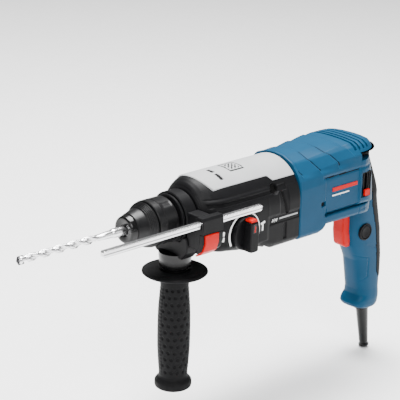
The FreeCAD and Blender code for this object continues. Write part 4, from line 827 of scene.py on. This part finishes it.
def printed_marks():
    """White scale arc round the knob with plain drill and hammer signs, and a rule line."""
    knob_x, knob_z = knob_centre()
    level = -HALF_WIDTH - 0.75
    turn = np.radians(np.linspace(208.0, -24.0, 80))
    arc = np.stack([knob_x + 21.2 * np.cos(turn), knob_z + 21.2 * np.sin(turn)], axis=1)
    ribbon("print_scale_arc", arc, np.linspace(2.2, 0.9, 80), level, WHITE, "housing",
           0.9)
    strokes = {
        "hammer_head": ([(148.6, -16.0), (154.6, -14.4)], 2.2),
        "hammer_shaft": ([(151.4, -16.4), (151.2, -23.6)], 1.9),
        "chisel_top": ([(96.6, -12.8), (96.2, -17.0)], 2.2),
        "chisel_foot": ([(96.4, -18.6), (95.6, -23.0)], 2.2),
        "drill_sign": ([(125.0, 4.9), (129.0, 5.4)], 1.7),
        "drill_tip": ([(121.4, 4.5), (122.6, 4.6)], 1.3),
    }
    for name, (path, width) in strokes.items():
        ribbon(f"print_{name}", path, [width, width], level, WHITE, "housing",
               0.9)
    wave = [(166.0 + 1.5 * number, -18.6 + 3.0 * (number % 2)) for number in range(6)]
    ribbon("print_wave", wave, [0.9] * 6, -HALF_WIDTH + 0.5, WHITE, "housing",
           0.5)
    ribbon("print_rule", [(177.0, -16.6), (204.0, -16.6)], [1.5, 1.5], -HALF_WIDTH + 0.5, GREY,
           "housing", 0.5)


# ---------------------------------------------------------------- side handle and depth stop

def side_clamp():
    """Clamp round the neck, its boss for the side grip and the block that holds the rod."""
    grip_low, grip_high = limits("side_grip")
    front, rear = 60.6, 75.4
    hoop = [(front, 22.1), (front, 25.6), (front + 0.9, 26.6), (rear - 0.9, 26.6),
            (rear, 25.6), (rear, 22.1)]
    lathe("clamp_hoop", resample(hoop, 0.8), BLACK, "clamp", ("clamp_body",))
    saddle = [(-28.0, -22.0), (-26.5, -32.0), (-19.0, -40.6), (19.0, -40.6), (26.5, -32.0),
              (28.0, -22.0), (25.5, -15.0), (20.5, -15.5), (16.5, -21.0), (-16.5, -21.0),
              (-20.5, -15.5), (-25.5, -15.0)]
    prism("clamp_saddle", saddle, 60.2, 77.2, "X", BLACK, "clamp", bevel=1.6)
    boss = [(-36.0, 12.0), (-37.5, 17.2), (-42.0, 17.0), (-48.0, 16.4), (-53.6, 16.0),
            (-54.0, 15.0), (-54.8, 15.0), (-55.2, 15.9), (-56.6, 15.9), (-57.0, 15.2),
            (-57.0, 4.1)]
    lathe("clamp_boss", resample(boss, 0.8), GLOSS, "clamp", axis="Z",
          centre=(0.5 * (grip_low[0] + grip_high[0]), 0.0, 0.0))
    rod_low, rod_high = limits("depth_rod")
    key_low, key_high = limits("depth_button")
    start, end, top = 57.5, 85.0, 12.4
    outer, inner, under = -53.0, -41.9, -26.0
    bar_floor, bar_roof, key_roof = rod_low[2], rod_high[2], key_high[2]
    prism("clamp_rise", rectangle(62.0, 77.0, -25.0, top - 1.0), inner - 0.5, -24.0, "Y",
          BLACK, "clamp", bevel=1.6)
    roof = [(outer, bar_roof + 0.5), (outer, top - 2.4), (outer + 2.0, top), (-44.0, top),
            (inner, top - 1.6), (inner, bar_roof + 0.5)]
    face = rectangle(outer, outer + 2.1, bar_floor - 1.0, bar_roof + 1.2)
    back = rectangle(inner - 1.9, inner, bar_floor - 1.0, bar_roof + 1.2)
    cheek = [(outer, key_roof + 0.5), (outer, bar_floor - 0.5), (inner, bar_floor - 0.5),
             (inner, under), (-42.4, under), (-42.6, -23.9), (-45.6, -21.2), (-48.0, -13.4),
             (-48.0, key_roof + 0.5)]
    jaw = [(outer, key_roof + 0.4), (outer, -14.0), (-50.0, -22.0), (-45.0, under),
           (-42.3, under), (-45.5, -20.5), (-47.8, -13.0), (-47.8, key_roof + 0.4)]
    for name, outline, near, far, bevel in (
            ("roof", roof, start, end, 1.0), ("face", face, start, end, 0.6),
            ("back", back, start, end, 0.6), ("cheek", cheek, start, end, 0.8),
            ("jaw_front", jaw, start, key_low[0] - 0.5, 0.8),
            ("jaw_rear", jaw, key_high[0] + 0.5, end, 0.8)):
        prism(f"clamp_{name}", outline, near, far, "X", BLACK, "clamp",
              bevel=bevel)
    key = [(-54.2, key_roof), (-54.3, -14.2), (-51.4, -22.8), (-46.6, -27.4),
           (-40.0, -30.6), (-39.4, -29.0), (-45.4, -25.2), (-49.0, -21.2), (-51.2, -13.6),
           (-51.2, key_roof)]
    prism("depth_key", key, key_low[0], key_high[0], "X", RED, "depth_button",
          ("depth_button",), bevel=0.6)


def depth_rod():
    """Steel depth rod with fine teeth along its upper half and a shallow groove in its face."""
    low, high = limits("depth_rod")
    middle, half = 0.5 * (low + high), 0.5 * (high - low)
    outline = [(-1.0, -0.75), (-0.72, -1.0), (0.72, -1.0), (1.0, -0.75), (1.0, -0.25),
               (0.82, -0.1), (1.0, 0.1), (1.0, 0.72), (0.75, 1.0), (-0.75, 1.0), (-1.0, 0.72),
               (-1.0, 0.1), (-0.82, -0.1), (-1.0, -0.25)]
    rows = []
    places = np.arange(low[0], high[0] + 0.01, 0.5)
    for number, place in enumerate(places):
        ends = min(1.0, 0.55 + (place - low[0]) / 4.0, 0.55 + (high[0] - place) / 6.0)
        tooth = 0.55 if number % 4 in (1, 2) else 0.0
        for one, two in outline:
            cut = tooth if two > 0.05 else 0.0
            rows.append((place, middle[1] + one * (half[1] - 0.5 * cut) * ends,
                         middle[2] + two * half[2] * ends - cut * (two > 0.9)))
    piece("depth_rod_bar", rows, grid_faces(len(places), len(outline)), BRIGHT, "depth_rod",
          ("depth_rod",), sharp=25.0)


def side_grip():
    """Side grip: dished guard, waisted column with dimpled and ribbed panels, pommel."""
    low, high = limits("side_grip")
    centre = 0.5 * (low + high)
    top, floor = high[2], low[2]
    guard = [(top, 8.05), (top, 15.0), (top - 0.5, 16.5), (top - 0.6, 22.0), (top + 0.0, 28.0),
             (top - 0.3, 32.0), (top - 1.2, 33.7), (top - 2.4, 33.9), (top - 3.4, 32.8),
             (top - 4.4, 27.0), (top - 5.2, 19.0), (top - 7.0, 15.8), (top - 11.0, 14.9)]
    column = [(-75.0, 14.8), (-86.0, 15.7), (-98.0, 16.6), (-108.0, 17.0), (-118.0, 17.15),
              (-132.0, 17.15), (-143.0, 17.0), (-154.0, 16.4), (-163.0, 15.8), (-170.0, 15.1),
              (-174.0, 15.0)]
    pommel = [(-176.0, 15.8), (-178.0, 17.8), (-179.8, 19.1), (-181.5, 19.4), (-184.6, 19.4),
              (-186.4, 18.8), (floor + 0.5, 17.4), (floor, 15.8), (floor, 9.2),
              (floor + 0.8, 8.6), (floor + 2.5, 8.4), (floor + 2.5, 0.01)]

    foot, row_height, pitch = -171.0, 7.6, math.radians(24.0)
    panel_turn, radius = math.radians(232.0), 16.5

    def knurl(place, around):
        """Rows of dimples on two broad panels, with fine ribs and a seam between them."""
        inside = band(place, foot, -73.0, 1.0)
        turned = around - panel_turn
        toward = np.abs(np.mod(turned + math.pi, 2.0 * math.pi) - math.pi)
        away = math.pi - toward
        panel = (1.0 - ease(toward, 0.86, 0.94)) + (1.0 - ease(away, 0.86, 0.94))
        row = np.floor((place - foot) / row_height)
        up = np.mod(place - foot, row_height) - 0.5 * row_height
        shift = np.where(np.mod(row, 2) == 0, 0.0, 0.5 * pitch)
        side = (np.mod(turned + shift, pitch) - 0.5 * pitch) * radius
        reach = np.hypot(side, up)
        dimple = 1.25 * (1.0 - ease(reach, 0.9, 2.5)) * panel
        wave = 0.5 + 0.5 * np.cos((place - foot) * 4.0 * math.pi / row_height)
        rib = 0.35 * wave * (1.0 - panel)
        seam = 0.5 * band(toward, 0.9, 0.96, 0.02) + 0.5 * band(away, 0.9, 0.96, 0.02)
        return inside * (dimple + rib + seam)

    lathe("side_grip_skin", resample(guard + column + pommel, 0.55), RUBBER, "side_grip",
          ("side_grip",), centre=(centre[0], 0.0, 0.0), axis="Z", steps=260,
          shape=knurl, sharp=50.0)


# ---------------------------------------------------------------- stage

def stage():
    """Pale floor, plain surroundings and soft studio lights."""
    gap, reach = 0.002, 6.0
    floor_level = float(cad_bounds[0][2]) - gap
    mesh = bpy.data.meshes.new("floor")
    mesh.from_pydata([(-reach, -reach, floor_level), (reach, -reach, floor_level),
                      (reach, reach, floor_level), (-reach, reach, floor_level)], [],
                     [(0, 1, 2, 3)])
    floor = bpy.data.objects.new("floor", mesh)
    bpy.context.collection.objects.link(floor)
    floor.data.materials.append(surface("floor_finish", (0.96, 0.96, 0.96), 0.9, mottle=0.008))
    world = bpy.data.worlds.new("studio")
    bpy.context.scene.world = world
    world.use_nodes = True
    sky = world.node_tree.nodes["Background"]
    sky.inputs["Color"].default_value = (1.0, 1.0, 1.0, 1.0)
    sky.inputs["Strength"].default_value = 0.3
    lamps = {
        "key_light": ((-0.7, -1.3, 1.3), 0.9, 34.0),
        "top_light": ((0.3, 0.3, 1.9), 1.3, 190.0),
        "fill_light": ((1.5, -1.5, 0.5), 1.2, 8.0),
        "front_light": ((-1.6, -0.2, 0.5), 0.8, 9.0),
    }
    for name, (spot, size, power) in lamps.items():
        data = bpy.data.lights.new(name, "AREA")
        data.size = size
        data.energy = power
        lamp = bpy.data.objects.new(name, data)
        bpy.context.collection.objects.link(lamp)
        lamp.location = spot
        lamp.rotation_euler = (-Vector(spot)).to_track_quat("-Z", "Y").to_euler()


def camera():
    """A long lens from the front left, a little above, rolled by about a degree."""
    azimuth, elevation, roll = (math.radians(angle) for angle in (-43.4, 19.1, 1.3))
    distance, target = 1.6861, np.array([0.1022, 0.0, 0.009])
    back = np.array([math.sin(azimuth) * math.cos(elevation),
                     -math.cos(azimuth) * math.cos(elevation), math.sin(elevation)])
    right = np.cross(-back, [0.0, 0.0, 1.0])
    right /= np.linalg.norm(right)
    up = np.cross(right, -back)
    across = right * math.cos(roll) + up * math.sin(roll)
    upward = -right * math.sin(roll) + up * math.cos(roll)
    data = bpy.data.cameras.new("view")
    data.lens = 149.56
    data.sensor_width = 36.0
    data.clip_end = 30.0
    item = bpy.data.objects.new("view", data)
    bpy.context.collection.objects.link(item)
    turn = Matrix([across, upward, back]).transposed().to_4x4()
    item.matrix_world = Matrix.Translation(target + back * distance) @ turn
    bpy.context.scene.camera = item


dress_cad_nodes()
camera()
stage()
gear_housing()
top_cover()
motor_housing()
rear_handle()
trigger()
bellows()
drill_bit()
tool_end()
mode_knob()
printed_marks()
side_clamp()
depth_rod()
side_grip()

bpy.context.view_layer.update()
